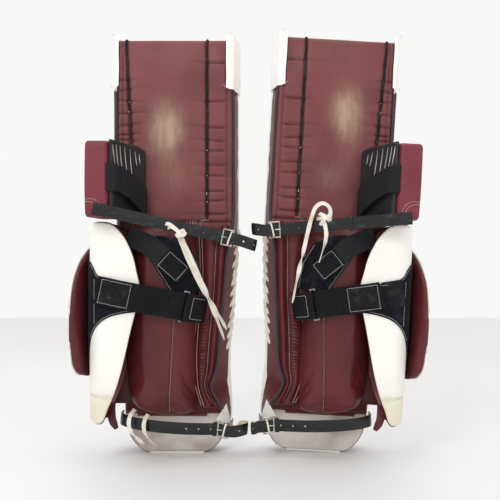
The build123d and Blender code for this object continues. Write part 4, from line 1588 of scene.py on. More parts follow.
class CushionShape:
    """The shin cushion's shape, inflated once by a cloth simulation and used for both pads.

    Attributes:
        points: (x, depth, z) of its points, in the pad's frame, in millimetres.
        faces: Its faces.
    """

    LEFT = [(101, -34), (105, -58), (114, -80), (134, -95), (165, -99), (505, -96)]
    RIGHT = [(101, 24), (103, 37), (109, 44), (122, 46), (150, 46), (505, 46)]
    BASE = SHIN_BACK + 0.4
    CROWN = 106.0
    CAP = 7.0
    FRAMES = 20
    VOXEL = 0.0045
    PRESSURE = 4.0

    def __init__(self) -> None:
        """Shapes the cushion."""
        left, right = smooth_table(self.LEFT), smooth_table(self.RIGHT)
        rows = 101.5 + rim_steps(402.0, 6.0, 12.0)
        top = panel_grid(rows, left, right, self.depth, 6.0, 12.0)
        bottom = top.copy()
        bottom[..., 1] = self.BASE
        neutral = PadPlace(Side.RIGHT, (0.0, 0.0, 0.0), (1.0, 0.0, 0.0), (0.0, 0.0, 1.0))
        form = Form().sheet(top, bottom)
        puffed = form.build("cushion_pattern", neutral, [])
        self.inflate(puffed)
        co = np.array([v.co for v in puffed.data.vertices]) / MM
        self.points = np.stack([co[:, 0], -co[:, 1], co[:, 2]], axis=1)
        self.points[:, 1] -= 2.8 * bell(self.points[:, 0] - self.seam_x(self.points[:, 2]), 3.2) * (
            self.points[:, 1] > self.BASE + 12)
        self.faces = np.array([list(p.vertices) for p in puffed.data.polygons])
        bpy.data.objects.remove(puffed)

    def depth(self, x: np.ndarray, z: np.ndarray) -> np.ndarray:
        """Depth of its back at (x, z), before it swells."""
        left, right = smooth_table(self.LEFT)(z), smooth_table(self.RIGHT)(z)
        side = rounded(np.minimum((x - left) / 1.15, right - x), 26) ** 0.9
        end = rounded(np.minimum(z - 101, 505 - z), 20)
        return self.BASE + (self.CROWN - self.BASE) * side * (0.3 + 0.7 * end)

    @staticmethod
    def seam_x(z: np.ndarray) -> np.ndarray:
        """x of the seam down its middle at a height."""
        return np.interp(z, (107, 300, 505), (-10, 1, 6))

    def inflate(self, puffed: bpy.types.Object) -> None:
        """Remeshes the pattern and lets cloth under pressure fill it, with a limit on how far it moves."""
        remesh = puffed.modifiers.new("remesh", "REMESH")
        remesh.mode, remesh.voxel_size = "VOXEL", self.VOXEL
        self.bake(puffed)
        start = np.array([v.co for v in puffed.data.vertices])
        held = puffed.vertex_groups.new(name="held")
        held.add([i for i, p in enumerate(start) if -p[1] / MM < self.BASE + 2.5], 1.0, "REPLACE")
        cloth = puffed.modifiers.new("cloth", "CLOTH")
        cloth.settings.use_pressure, cloth.settings.uniform_pressure_force = True, self.PRESSURE
        cloth.settings.vertex_group_mass = "held"
        cloth.settings.effector_weights.gravity = 0.0
        for frame in range(1, self.FRAMES + 1):
            bpy.context.scene.frame_set(frame)
        self.bake(puffed)
        bpy.context.scene.frame_set(1)
        end = np.array([v.co for v in puffed.data.vertices])
        moved = end - start
        length = np.linalg.norm(moved, axis=1, keepdims=True)
        moved *= np.minimum(1, self.CAP * MM / np.maximum(length, 1e-9))
        puffed.data.vertices.foreach_set("co", (start + moved).astype(np.float32).reshape(-1))
        smooth = puffed.modifiers.new("smooth", "SUBSURF")
        smooth.levels = smooth.render_levels = 1
        self.bake(puffed)

    @staticmethod
    def bake(piece: bpy.types.Object) -> None:
        """Puts a piece's modifiers into its mesh."""
        mesh = bpy.data.meshes.new_from_object(piece.evaluated_get(bpy.context.evaluated_depsgraph_get()))
        piece.modifiers.clear()
        piece.data = mesh


@dataclass
class ShinCushion:
    """The padded burgundy panel that the shin rests on.

    Attributes:
        place: The pad.
        cloths: The materials.
        shape: The inflated shape.
    """

    place: PadPlace
    cloths: Wardrobe
    shape: CushionShape

    def build(self, seamstress: Seamstress) -> bpy.types.Object:
        """Builds, dresses and stitches the cushion, and returns it."""
        p = self.shape.points
        x, z = p[:, 0], p[:, 2]
        fold = 1.3 * bell((x + 52) * 0.9 + (z - 250) * 0.22, 5) * bell(z - 250, 45)
        fold = fold + 0.9 * bell((x - 18) * 0.8 + (z - 150) * 0.7, 4) * bell(z - 140, 30)
        shaped = p.copy()
        shaped[:, 1] += (0.7 * ripple(x, z, 40, 21) + 0.25 * ripple(x, z * 0.6, 9, 22) + fold) * (p[:,
                                                                                                    1] > 85)
        form = Form()
        form.points, form.faces = [shaped], [self.shape.faces]
        form.parts = [np.zeros(len(self.shape.faces), int)]
        form.spots = [shaped[:, [0, 2]] / 100]
        # Painted shade: darker along the seam's groove and towards the cushion's foot, where it meets the
        # lining.
        seam = bell(x - self.shape.seam_x(z), 2.2) * 0.7
        edge = 0.6 * smoothstep((78 - shaped[:, 1]) / 12)
        form.marks = {"wear": [0.12 * bell(x - 12, 22) * bell(z - 205, 70)],
                      "crease": [np.clip(seam + edge, 0, 1)]}
        piece = form.build("shin_cushion_pad", self.place, [self.cloths["deep"]], 80)
        self.place.dress(piece, Follow.SHIN, "burgundy_leather", ["shin_cushion"])
        surface = Surface(piece)
        levels = np.arange(322.0, 108.0, -3.0)
        seams = [surface.under(self.place, np.stack([self.shape.seam_x(levels) + 1.6, levels], axis=1),
                               0.25)]
        sewn = seamstress.sew(self.place.node("cushion_stitches"), seams, self.cloths["thread"],
                              Gauge(4.6, 3, 0.5))
        self.place.dress(sewn, Follow.SHIN, "stitching")
        return piece


@dataclass
class KneeBlock:
    """The knee stack: a burgundy cover, the black moulded cradle and the elastic band.

    Attributes:
        place: The pad.
        cloths: The materials.
        heights: Its bottom and top.
        front: Depth of its front.
        rear: Depth of its rear.
        round_off: Radius of its edges.
    """

    place: PadPlace
    cloths: Wardrobe
    heights: tuple[float, float] = (521.0, 675.0)
    front: float = 70.8
    rear: float = 186.0
    round_off: float = 10.0

    @staticmethod
    def cradle_x(depth: np.ndarray) -> np.ndarray:
        """x of the cradle's knee face at a depth."""
        return -62.0 - 0.434 * (depth - 70.8)

    def outline(self) -> np.ndarray:
        """The cover's closed outline seen from above, with soft corners."""
        inner = 11.0
        corners = np.array([(-150, self.front), (self.cradle_x(self.front) - inner, self.front),
                            (self.cradle_x(self.rear) - inner, self.rear), (-167.5, self.rear),
                            (-168, 104)])
        line = np.concatenate([np.linspace(a, b, 5)[:-1] for a,
                               b in zip(corners, np.roll(corners, -1, axis=0))])
        for _ in range(3):
            after = np.roll(line, -1, axis=0)
            line = np.stack([line * 0.75 + after * 0.25, line * 0.25 + after * 0.75], axis=1).reshape(-1, 2)
        return line

    def build_cover(self) -> bpy.types.Object:
        """The burgundy cover, crowned a little between its edges."""
        outline = self.outline()
        centre = outline.mean(axis=0)
        low, high = self.heights
        turn = np.linspace(0, math.pi / 2, 7)
        cap = [(low + self.round_off * (1 - math.sin(t)),
                self.round_off * (1 - math.cos(t))) for t in turn[::-1]]
        middle = [(z, 0.0) for z in np.arange(low + self.round_off + 5, high - self.round_off - 1, 6)]
        top = [(low + high - z, inset) for z, inset in cap[::-1]]
        rings = []
        for z, inset in [(low, 40.0), (low, 22.0)] + cap + middle + top + [(high, 22.0), (high, 40.0)]:
            reach = outline - centre
            distance = np.linalg.norm(reach, axis=1, keepdims=True)
            bulge = 1.6 * math.sin(math.pi * (z - low) / (high - low))
            scale = 1 - np.minimum(inset, distance * 0.98) / distance + bulge / distance
            ring = centre + reach * scale
            rings.append(np.column_stack([ring[:, 0], ring[:, 1], np.full(len(ring), z)]))
        grid = np.array([np.tile([*centre, low], (len(outline), 1)), *rings,
                         np.tile([*centre, high], (len(outline), 1))])
        grid[..., 1] += 0.4 * ripple(grid[..., 0], grid[..., 2], 30, 31)
        form = Form().grid(grid, loop=True)
        piece = form.build("knee_block_skin", self.place, [self.cloths["knee"]], 60)
        return self.place.dress(piece, Follow.SHIN, "burgundy_leather", ["knee_block_cover"])

    def build_cradle(self) -> bpy.types.Object:
        """The black cradle with the moulded lines that grip the knee."""
        low, high = self.heights
        depths = np.array([72.5, 90, 118, 150, 176, 186])
        lean = np.array([-2.0, -5.5, -8.0, -7.5, -5.5, -4.5])
        plan = line_through(np.stack([self.cradle_x(depths) + lean, depths], axis=1), 3.0)
        grid = upright_grid(plan, lambda x: low + 1 + 6 * smoothstep((x + 78) / 16),
                            lambda x: high + 2 - 9 * smoothstep((x + 82) / 22), 3.0, 6.0)
        soft = 0.5 * ripple(grid[..., 1], grid[..., 2], 16, 32)
        # Painted shade: the cradle is darkened a little all over.
        form = Form().shell(grid, 9.0, 5.0, swell=soft, crease=0.3)
        piece = form.build("knee_cradle_pad", self.place, [self.cloths["cradle"]], 60)
        self.place.dress(piece, Follow.SHIN, "black_elastic", ["knee_cradle"])
        ribs = Form()
        starts = ((183, 666, 174, 626), (171, 668, 160, 618), (157, 668, 144, 604), (140, 668, 126, 590),
                  (122, 666, 112, 592), (106, 664, 100, 634), (94, 660, 91, 640))
        for d0, z0, d1, z1 in starts:
            share = np.linspace(0, 1, 16)
            depth = d0 + (d1 - d0) * share ** 1.5
            x = np.interp(depth, plan[:, 1], plan[:, 0]) + 4.9
            ribs.tube(np.stack([x, depth + 1.0, z0 + (z1 - z0) * share], axis=1),
                      0.95 * np.sin(math.pi * np.clip(share, 0.06, 0.94)) ** 0.5, 6)
        marked = ribs.build("cradle_ribs", self.place, [self.cloths["thread"]])
        self.place.dress(marked, Follow.SHIN, "stitching")
        return piece

    def build_band(self) -> None:
        """The elastic band from the rear edge round the knee and under, with turned edges."""
        plan = line_through([(-124, 188.6), (-108, 188.2), (-95, 168), (-81, 138), (-67, 106), (-58, 86)],
                            3.0)
        span = np.linspace(0, 1, len(plan))
        high = np.interp(span, (0, 0.35, 0.75, 1), (630, 622, 604, 588))
        low = np.interp(span, (0, 0.25, 0.5, 0.8, 1), (573, 571, 560, 540, 522))
        share = rim_steps(50.0, 4.0, 3.0)[:, None] / 50.0
        z = low[None] + (high - low)[None] * share
        x = np.broadcast_to(plan[None, :, 0], z.shape) + 1.2 * np.sin(math.pi * share) * (span > 0.3)
        grid = np.stack([x, np.broadcast_to(plan[None, :, 1], z.shape), z], axis=-1)
        grid[..., 1] += 0.8 * ripple(x, z, 15, 33)
        spots = np.stack(np.broadcast_arrays(span[None] * 1.3, share * 0.5), axis=-1)
        piece = Form().shell(grid, 2.6, 1.5, spots=spots).build("knee_elastic_band", self.place,
                                                                [self.cloths["band"]], 60)
        self.place.dress(piece, Follow.SHIN, "black_elastic", ["knee_band"])
        inner = line_through([(-128, 176, 566), (-112, 160, 552), (-92, 128, 540), (-74, 100, 530)], 3)
        fold = Form().ribbon(inner, np.array((0.3, 1.0, 0.6)), 26.0, 2.4)
        tucked = fold.build("knee_band_tuck", self.place, [self.cloths["band"]])
        self.place.dress(tucked, Follow.SHIN, "black_elastic")

    def build(self, seamstress: Seamstress) -> None:
        """Builds and dresses the knee stack."""
        cover = self.build_cover()
        self.build_cradle()
        self.build_band()
        surface = Surface(cover)
        seams = []
        for inset in (0.0, 5.5):
            corner = line_through([(-167.5, 557 - inset), (-150 - inset, 557 - inset),
                                   (-139 - inset, 551 - inset * 0.8),
                                   (-133 - inset, 540 - inset), (-131.5 - inset, 526)], 2.0)
            seams.append(surface.under(self.place, corner, 0.2))
        piece = seamstress.sew(self.place.node("knee_block_stitches"), seams, self.cloths["thread"],
                               Gauge(3.6, 3.2, 0.45))
        self.place.dress(piece, Follow.SHIN, "stitching")


@dataclass
class CalfGuards:
    """The white calf wing, the burgundy calf flap beside it, and their linings and gusset.

    Attributes:
        place: The pad.
        cloths: The materials.
    """

    place: PadPlace
    cloths: Wardrobe
    wing_line: Pairs = ((-102, 68.4), (-134, 75), (-160, 96), (-166, 124), (-150, 141), (-112, 146),
                        (-66, 138))
    wing_low: Pairs = ((-178, 118), (-166, 100), (-158, 96), (-146, 97), (-128, 130), (-79, 304), (-70, 340),
                       (-62, 366))
    wing_high: Pairs = ((-178, 508), (-152, 512), (-122, 508), (-102, 490), (-86, 462), (-76, 434),
                        (-70, 404),
                        (-62, 376))
    flap_line: Pairs = ((-136, 51.5), (-164, 74), (-186, 106), (-198, 140), (-206, 152))
    flap_edge: Pairs = ((188, -182), (192, -190), (208, -199), (250, -205), (330, -206), (410, -197),
                        (458, -180),
                        (478, -160), (482, -150))
    pieces: dict[str, bpy.types.Object] = field(default_factory=dict)

    def wing_grid(self, inwards: float, grow: float) -> np.ndarray:
        """A grid on the wing's surface, moved inwards and grown past its edges."""
        plan = line_through(self.wing_line, 3.0)
        along = directions(plan)
        plan = plan + np.stack([along[:, 1], -along[:, 0]], axis=1) * inwards
        low, high = smooth_table(self.wing_low), smooth_table(self.wing_high)
        return upright_grid(plan, lambda x: low(x) - grow, lambda x: high(x) + grow * 0.6, 4.0, 6.0)

    def build_wing(self) -> None:
        """The white wing with its seam near the bottom, and the burgundy lining inside it."""
        grid = self.wing_grid(0.0, 0.0)
        x, z = grid[..., 0], grid[..., 2]
        seam = bell(z - 153 + 0.1 * (x + 140), 1.8)
        swell = 1.4 * rounded(rim_distance(grid), 26) + 0.45 * ripple(x, z, 38, 41) - 1.5 * seam
        stain = np.clip(0.75 * smoothstep((175 - z) / 50) + 0.35 * smoothstep((250 - z) / 90), 0, 1)
        # Painted shade in the seam's groove near the wing's foot; the yellowing towards the bottom is a
        # stain.
        form = Form().shell(grid, 7.0, 5.0, swell=swell, wear=stain, crease=seam)
        inner = np.arange(grid.shape[1] - 1) < int(np.argmax(grid[0, :, 1] > 103))
        form.parts = [np.tile(inner, grid.shape[0] - 1).astype(int) for _ in form.parts]
        piece = form.build("calf_wing_shell", self.place, [self.cloths["white"], self.cloths["deep"]], 60)
        self.place.dress(piece, Follow.SHIN, "white_synthetic", ["calf_wing"])
        self.pieces["wing"] = piece
        rows = 121.0 + rim_steps(350.0, 6.0, 3.0)
        root = panel_grid(rows, plain_table([(121, -133), (300, -122), (471, -112)]),
                          lambda z: np.full_like(z, -94.0), lambda x, z: 65.5 + 0.5 * ripple(x, z, 20, 45),
                          4.0, 3.0)
        # Painted shade: the side liner is darkened all over, as it lies in the shaded gutter beside the
        # wing.
        liner = Form().shell(root, 2.6, 1.4, crease=0.7).build("shin_side_liner", self.place,
                                                              [self.cloths["deep"]], 60)
        self.place.dress(liner, Follow.SHIN, "burgundy_leather")
        lining = self.wing_grid(5.6, 3.0)[:, 12:]
        # Painted shade: the wing's lining is darkened all over.
        piece = Form().shell(lining, 3.4, 2.0, crease=0.35).build("calf_wing_lining", self.place,
                                                                [self.cloths["deep"]], 60)
        self.place.dress(piece, Follow.SHIN, "burgundy_leather")

    def flap_grid(self, towards_leg: float, grow: float) -> np.ndarray:
        """A grid on the flap's surface, moved towards the leg and grown past its edges."""
        edge = smooth_table(self.flap_edge)
        depth = smooth_table([(x, d) for x, d in self.flap_line][::-1])
        rows = 188.0 - grow + rim_steps(294.0 + 2 * grow, 4.0, 8.0)
        grid = panel_grid(rows, lambda z: edge(z) - grow, lambda z: np.full_like(z, -137.0),
                          lambda x, z: depth(x), 3.0, 6.0)
        return grid + face_directions(grid) * towards_leg

    def build_flap(self) -> None:
        """The flap: burgundy and crowned towards the leg, white outside."""
        inner = self.flap_grid(2.6, 0.0)
        swell = 2.2 * rounded(rim_distance(inner), 20) + 0.4 * ripple(inner[..., 0], inner[..., 2], 30, 42)
        # Painted shade: the burgundy side darkens towards the pad.
        form = Form().shell(inner, 5.2, 4.5, swell=swell, wear=0.1 * bell(inner[..., 2] - 330, 90),
                            crease=0.95 * smoothstep((inner[..., 0] + 198) / 22))
        black = inner[len(inner) // 3, :-1, 0] > -187
        form.parts[0] = np.tile(black, len(inner) - 1).astype(int)
        piece = form.build("calf_flap_pad", self.place, [self.cloths["deep"], self.cloths["neoprene"]], 60)
        self.place.dress(piece, Follow.FLAP, "burgundy_leather", ["calf_flap"])
        outer = self.flap_grid(-2.4, 1.2)
        piece = Form().shell(outer, 3.6, 1.8).build("calf_flap_skin", self.place, [self.cloths["white"]], 60)
        self.place.dress(piece, Follow.FLAP, "white_synthetic")

    def build_gusset(self) -> None:
        """The black gusset that joins the flap to the wing."""
        plan = line_through([(-157, 101), (-166, 88), (-174, 92), (-184, 108)], 2.0)
        grid = upright_grid(plan, lambda x: 200 - 0.9 * (x + 160), lambda x: 414 + 0.4 * (x + 160), 5.0, 3.0)
        grid[..., 1] += 1.2 * ripple(grid[..., 0], grid[..., 2], 18, 43)
        piece = Form().shell(grid, 2.0, 1.2).build("calf_gusset", self.place, [self.cloths["neoprene"]], 60)
        self.place.dress(piece, Follow.FLAP_FOLD, "neoprene")

    def build_patch(self, seamstress: Seamstress) -> None:
        """The neoprene patch that wraps over the wing under the calf strap."""
        plan = line_through(self.wing_line, 2.5)
        plan = plan[plan[:, 1].argmax() - 26:]
        along = directions(plan)
        plan = plan - np.stack([along[:, 1], -along[:, 0]], axis=1) * 6.6
        low = smooth_table([(-176, 205), (-172, 240), (-166, 272), (-152, 298), (-128, 316), (-104, 323),
                            (-60, 328)])
        high = smooth_table([(-176, 436), (-168, 430), (-160, 420), (-152, 406), (-138, 397), (-120, 392),
                             (-60, 384)])
        grid = upright_grid(plan[plan[:, 1] > 96], low, high, 4.0, 2.0)
        piece = Form().shell(grid, 2.2, 1.4, swell=0.25 * ripple(grid[..., 0], grid[..., 2], 14, 44)).build(
            "neoprene_patch", self.place, [self.cloths["neoprene"]], 60)
        self.place.dress(piece, Follow.SHIN, "neoprene")
        surface = Surface(piece, self.pieces["wing"])
        across = np.arange(-166.0, -72.0, 3.0)
        lines = [surface.under(self.place, np.stack([across, low(across) + 4], axis=1), 0.3),
                 surface.under(self.place, np.stack([across, high(across) - 4], axis=1), 0.3),
                 surface.under(self.place, np.array([(-157, z) for z in np.arange(306.0, 396.0, 3.0)]), 0.3),
                 surface.under(self.place, np.stack([across, 153 - 0.1 * (across + 140) - 3], axis=1), 0.2)]
        sewn = seamstress.sew(self.place.node("patch_stitches"), [line for line in lines if len(line) > 2],
                              self.cloths["thread"], Gauge(4, 3.4, 0.5))
        self.place.dress(sewn, Follow.SHIN, "stitching")

    def build_tab(self) -> None:
        """The small burgundy pull tab under the wing's tip."""
        line = line_through([(-137, 70, 132), (-134, 88, 112), (-129, 98, 92), (-121, 96, 74)], 2.0)
        width = np.interp(np.linspace(0, 1, len(line)), (0, 0.8, 1), (20, 16, 9))
        piece = Form().ribbon(line, np.array((0.25, 1.0, 0.2)), width, 2.6).build(
            "pull_tab", self.place, [self.cloths["deep"]])
        self.place.dress(piece, Follow.SHIN, "burgundy_leather")

    def build(self, seamstress: Seamstress) -> None:
        """Builds and dresses every piece of the calf guards."""
        self.build_wing()
        self.build_flap()
        self.build_gusset()
        self.build_patch(seamstress)
        self.build_tab()


@dataclass
class CalfStraps:
    """The black wrap panel, the calf strap with its slide, and the strap above it.

    Attributes:
        place: The pad.
        cloths: The materials.
        patch: From which to which x the strap's hook patch lies.
        strap_end: x of the strap's free end.
        width: Width of the webbing, in millimetres.
        slope: How much the straps are sloped.
        pivot: (x, z) about which they are sloped.
    """

    place: PadPlace
    cloths: Wardrobe
    patch: tuple[float, float] = (-149.0, -78.0)
    strap_end: float = -153.0
    width: float = 58.0
    slope: float = 12.0
    pivot: tuple[float, float] = (-30.0, 348.0)

    def band(self, plan: Sequence[tuple[float, float]], width: float, thickness: float, out: float = 0.0,
             edges: tuple[int, int, int] = (0, 0, 0)) -> Form:
        """A level band at the pivot's height along a line seen from above, then sloped."""
        line = line_through(plan, 3.0)
        along = directions(line)
        line = line + np.stack([-along[:, 1], along[:, 0]], axis=1) * out
        centre = np.column_stack([line, np.full(len(line), self.pivot[1])])
        facing = np.column_stack([-along[:, 1], along[:, 0], np.zeros(len(line))])
        form = Form().ribbon(centre, facing, width, thickness, edges, 9)
        form.points = [sloped(p, self.slope, *self.pivot) for p in form.points]
        return form

    def outlined(self, path: Sequence[tuple[float, float]], depth: float) -> np.ndarray:
        """A closed (x, depth, z) outline on the sloped strap."""
        flat = np.array([(x, depth, z) for x, z in path])
        return sloped(flat, self.slope, *self.pivot)

    def build(self, seamstress: Seamstress) -> None:
        """Builds and dresses every strap on the calf.

        Args:
            seamstress: Sews the patches.
        """
        loose = [p for p in ((-152, 156), (-124, 157), (-88, 155), (-54, 144), (-18, 130), (19, 125.5))
                 if p[0] > self.strap_end - 2]
        if loose[0][0] > self.strap_end:
            loose.insert(0, (self.strap_end, 156.5))
        low = sloped(np.array([(22.0, 123.5, 348 - 29.0)]), self.slope, *self.pivot)
        high = sloped(np.array([(22.0, 123.5, 348 + 29.0)]), self.slope, *self.pivot)
        strap = self.band(loose, self.width, 2.6)
        strap.tube(np.linspace(low[0], high[0], 12), 4.0, 12)
        piece = strap.build("calf_strap_web", self.place, [self.cloths["elastic"]])
        self.place.dress(piece, Follow.CALF_STRAP, "black_elastic", ["calf_strap"])
        line = line_through(loose, 2.0)
        held = line[(line[:, 0] > self.patch[0]) & (line[:, 0] < self.patch[1])]
        patch = self.band(held[::4], self.width - 5, 1.4, 1.9)
        hooked = patch.build("calf_strap_hook_patch", self.place, [self.cloths["hook"]])
        self.place.dress(hooked, Follow.CALF_STRAP, "black_elastic")
        half = self.width / 2 - 5
        square = [(self.patch[0] + 4, 348 - half), (self.patch[1] - 4, 348 - half),
                  (self.patch[1] - 4, 348 + half),
                  (self.patch[0] + 4, 348 + half), (self.patch[0] + 4, 348 - half)]
        seam = evenly(self.outlined(square, 0)[:, [0, 2]], 3.0)
        sewn = seamstress.sew(self.place.node("calf_patch_stitches"),
                              [Surface(hooked).under(self.place, seam, 0.25)], self.cloths["thread"],
                              Gauge(3.6, 3.1, 0.5))
        self.place.dress(sewn, Follow.CALF_STRAP, "stitching")
        if self.strap_end > -120:
            strip = self.band([(-156, 155), (-140, 156.5), (self.strap_end - 4, 153.5)], self.width - 4, 2.2,
                              -2.0)
            pile = strip.build("hook_strip", self.place, [self.cloths["hook"]])
            self.place.dress(pile, Follow.SHIN, "black_elastic")
        self.build_panel(seamstress)

    def build_panel(self, seamstress: Seamstress) -> None:
        """The wrap panel, its tab to the slide, and the upper strap with its stitched square."""
        left = plain_table([(366, -3), (440, -50), (478, -46), (485, -32)])
        right = plain_table([(366, 64), (423, 56), (464, 35), (478, 2), (485, -20)])
        rows = 366.5 + rim_steps(118, 4, 3)

        def drape(x: np.ndarray, z: np.ndarray) -> np.ndarray:
            """The panel's depth, which falls away towards both ends."""
            return (116.0 - 18 * smoothstep((x - 26) / 44) - 6 * smoothstep((-34 - x) / 24)
                    + 0.5 * ripple(x, z, 18, 51))

        panel = panel_grid(rows, left, right, drape, 4, 3)
        tab = self.band([(33, 125), (46, 120), (60, 108), (68, 92), (70, 80)], self.width, 2.6)
        low = sloped(np.array([(32.0, 123.5, 348 - 29.0)]), self.slope, *self.pivot)
        high = sloped(np.array([(32.0, 123.5, 348 + 29.0)]), self.slope, *self.pivot)
        tab.tube(np.linspace(low[0], high[0], 12), 4.0, 12)
        sheet = Form().shell(panel, 3.0, 1.6)
        backing = self.band([(8, 119.0), (24, 118.4), (44, 115.5)], self.width - 4, 1.6)
        backed = backing.build("slide_backing", self.place, [self.cloths["band"]])
        self.place.dress(backed, Follow.SHIN, "black_elastic")
        piece = sheet.build("wrap_panel_cloth", self.place, [self.cloths["neoprene"]], 60)
        self.place.dress(piece, Follow.SHIN, "neoprene", ["wrap_panel"])
        web = tab.build("slide_tab", self.place, [self.cloths["elastic"]])
        self.place.dress(web, Follow.SHIN, "black_elastic")
        run = line_through([(-94, 117, 486), (-66, 118.5, 474), (-38, 120.5, 458), (-10, 121.0, 431),
                            (10, 120.8, 414), (25, 119.6, 400)], 3.0)
        upper = Form().ribbon(run, np.array((0.0, 1.0, 0.15)), 43.0, 2.8, across=9)
        strap = upper.build("upper_strap_web", self.place, [self.cloths["band"]])
        self.place.dress(strap, Follow.SHIN, "black_elastic", ["upper_calf_strap"])
        square_run = evenly(np.array([(-19.5, 123.2, 440.5), (24.5, 121.8, 401.5)]), 3.0)
        square = Form().ribbon(square_run, np.array((0.0, 1.0, 0.15)), 44.0, 1.6, across=9).build(
            "upper_strap_patch", self.place, [self.cloths["elastic"]])
        self.place.dress(square, Follow.SHIN, "black_elastic")
        direction = unit(np.array((44.0, -39.0)))
        across = np.array((-direction[1], direction[0]))
        centre = np.array((2.5, 421.0))
        corners = [centre + direction * a * 24.5 + across * b * 18.5
                   for a, b in ((-1, -1), (1, -1), (1, 1), (-1, 1), (-1, -1))]
        edge_low = [(-3 - (z - 366) * 47 / 74 + 4, z) for z in np.arange(368.0, 440.0, 3.0)]
        edge_high = [(float(right(z)) - 4, z) for z in np.arange(370.0, 462.0, 3.0)]
        tab_edge = self.outlined([(66, 326), (44, 326), (44, 370), (66, 370)], 0)[:, [0, 2]]
        both = Surface(square, piece, web)
        lines = [both.under(self.place, evenly(np.array(corners), 3), 0.25),
                 both.under(self.place, np.array(edge_low), 0.25),
                 both.under(self.place, np.array(edge_high), 0.25),
                 both.under(self.place, evenly(tab_edge, 3), 0.25)]
        sewn = seamstress.sew(self.place.node("strap_stitches"), lines, self.cloths["thread"],
                              Gauge(3.6, 3.1, 0.5))
        self.place.dress(sewn, Follow.SHIN, "stitching")


@dataclass
class LeatherStrap:
    """One leather strap from the medial edge to its buckle, with its curled tail.

    Attributes:
        place: The pad.
        cloths: The materials.
        name: Its CAD node, without its side.
        follow: What it moves with.
        z: Height of its middle line, before it is sloped.
        slope: How far its lateral end sinks, in degrees.
        run: (x, depth) of its line to the buckle.
        tail: (x, depth) of its line past the buckle.
        rise: How far the tail climbs, in degrees.
        holes: x of the holes before the buckle.
        keeper_x: Where its keeper loop sits.
        width: Its width, in millimetres.
        thickness: Its thickness, in millimetres.
    """

    place: PadPlace
    cloths: Wardrobe
    name: str
    follow: Follow
    z: float
    slope: float
    run: Pairs
    tail: Pairs
    rise: float
    holes: tuple[float, ...]
    keeper_x: float
    width: float = 25.0
    thickness: float = 2.7

    def centre(self) -> np.ndarray:
        """The strap's middle line, before it is sloped."""
        run = [(x, depth, self.z) for x, depth in self.run]
        start = self.tail[0][0]
        angle = math.radians(self.rise)
        tail = [(start + (x - start) * math.cos(angle), depth, self.z + (x - start) * math.sin(angle))
                for x, depth in self.tail]
        return line_through(run + tail, 2.0)

    def build(self) -> bpy.types.Object:
        """Builds and dresses the strap, its holes, keeper and tie, and returns the strap."""
        line = self.centre()
        along = directions(line)
        facing = unit(np.column_stack([-along[:, 1], along[:, 0], np.zeros(len(line))]))
        width = np.full(len(line), self.width)
        width[-4:] = self.width * np.array([0.97, 0.88, 0.7, 0.42])
        form = Form().ribbon(line, facing, width, self.thickness, (0, 1, 2), 7)
        form.points = [sloped(p, self.slope, 0.0, self.z) for p in form.points]
        leather = [self.cloths["strap"], self.cloths["strap_inside"], self.cloths["strap_edge"]]
        piece = form.build(self.name + "_leather", self.place, leather, 30)
        self.punch(piece, line, facing)
        self.place.dress(piece, self.follow, "black_leather", [self.name])
        self.build_loops(line, along, facing)
        return piece

    def punch(self, piece: bpy.types.Object, line: np.ndarray, facing: np.ndarray) -> None:
        """Cuts the round holes through the strap."""
        cutters = Form()
        tail_start = int(np.argmax(line[:, 0] >= self.tail[0][0]))
        places = [int(np.argmax(line[:, 0] >= x)) for x in self.holes]
        places += [i for i in (tail_start + 5, tail_start + 17) if i < len(line) - 6]
        for i in places:
            drill = np.linspace(line[i] - facing[i] * 4, line[i] + facing[i] * 4, 4)
            cutters.tube(sloped(drill, self.slope, 0.0, self.z), 1.9, 12)
        cutter = cutters.build(self.name + "_holes", self.place, [self.cloths["strap_edge"]])
        cut = piece.modifiers.new("holes", "BOOLEAN")
        cut.operation, cut.solver, cut.object = "DIFFERENCE", "EXACT", cutter
        CushionShape.bake(piece)
        bpy.data.objects.remove(cutter)

    def build_loops(self, line: np.ndarray, along: np.ndarray, facing: np.ndarray) -> None:
        """A leather keeper round the strap and a thin white tie by the buckle."""
        for name, x, band, thick, cloth, slot, lean in (
                ("keeper", self.keeper_x, 9.0, 1.8, "strap", "black_leather", 0.0),
                ("tie", self.tail[0][0] - 20.0, 3.2, 1.5, "lace", "lace_cotton", 2.5)):
            i = int(np.argmax(line[:, 0] >= x))
            centre, out, up = line[i], facing[i], np.array((0.0, 0.0, 1.0))
            turn = np.linspace(0, 2 * math.pi, 29)[:, None]
            high, deep = self.width / 2 + 1.6, self.thickness / 2 + 1.5
            wave = np.abs(np.sin(turn)) ** 0.5 * np.sign(np.sin(turn))
            loop = centre + up * np.cos(turn) * high + out * wave * deep + along[i] * np.cos(turn) * lean
            look = up * np.cos(turn) + out * wave
            form = Form().ribbon(loop, look, band, thick, across=3)
            form.points = [sloped(p, self.slope, 0.0, self.z) for p in form.points]
            made = form.build(f"{self.name}_{name}", self.place, [self.cloths[cloth]], 50)
            self.place.dress(made, self.follow, slot)


@dataclass(frozen=True)
class LaceRoute:
    """The way that one flat lace lies.

    Attributes:
        name: The piece's name.
        node: The CAD node that it stands for, without its side.
        follow: What it moves with.
        length: Its length, in millimetres; not used.
        route: (x, depth, z) points that steer it.
        twist: How many half turns it makes along its length.
    """

    name: str
    node: str
    follow: Follow
    length: float
    route: Route
    twist: float = 1.0


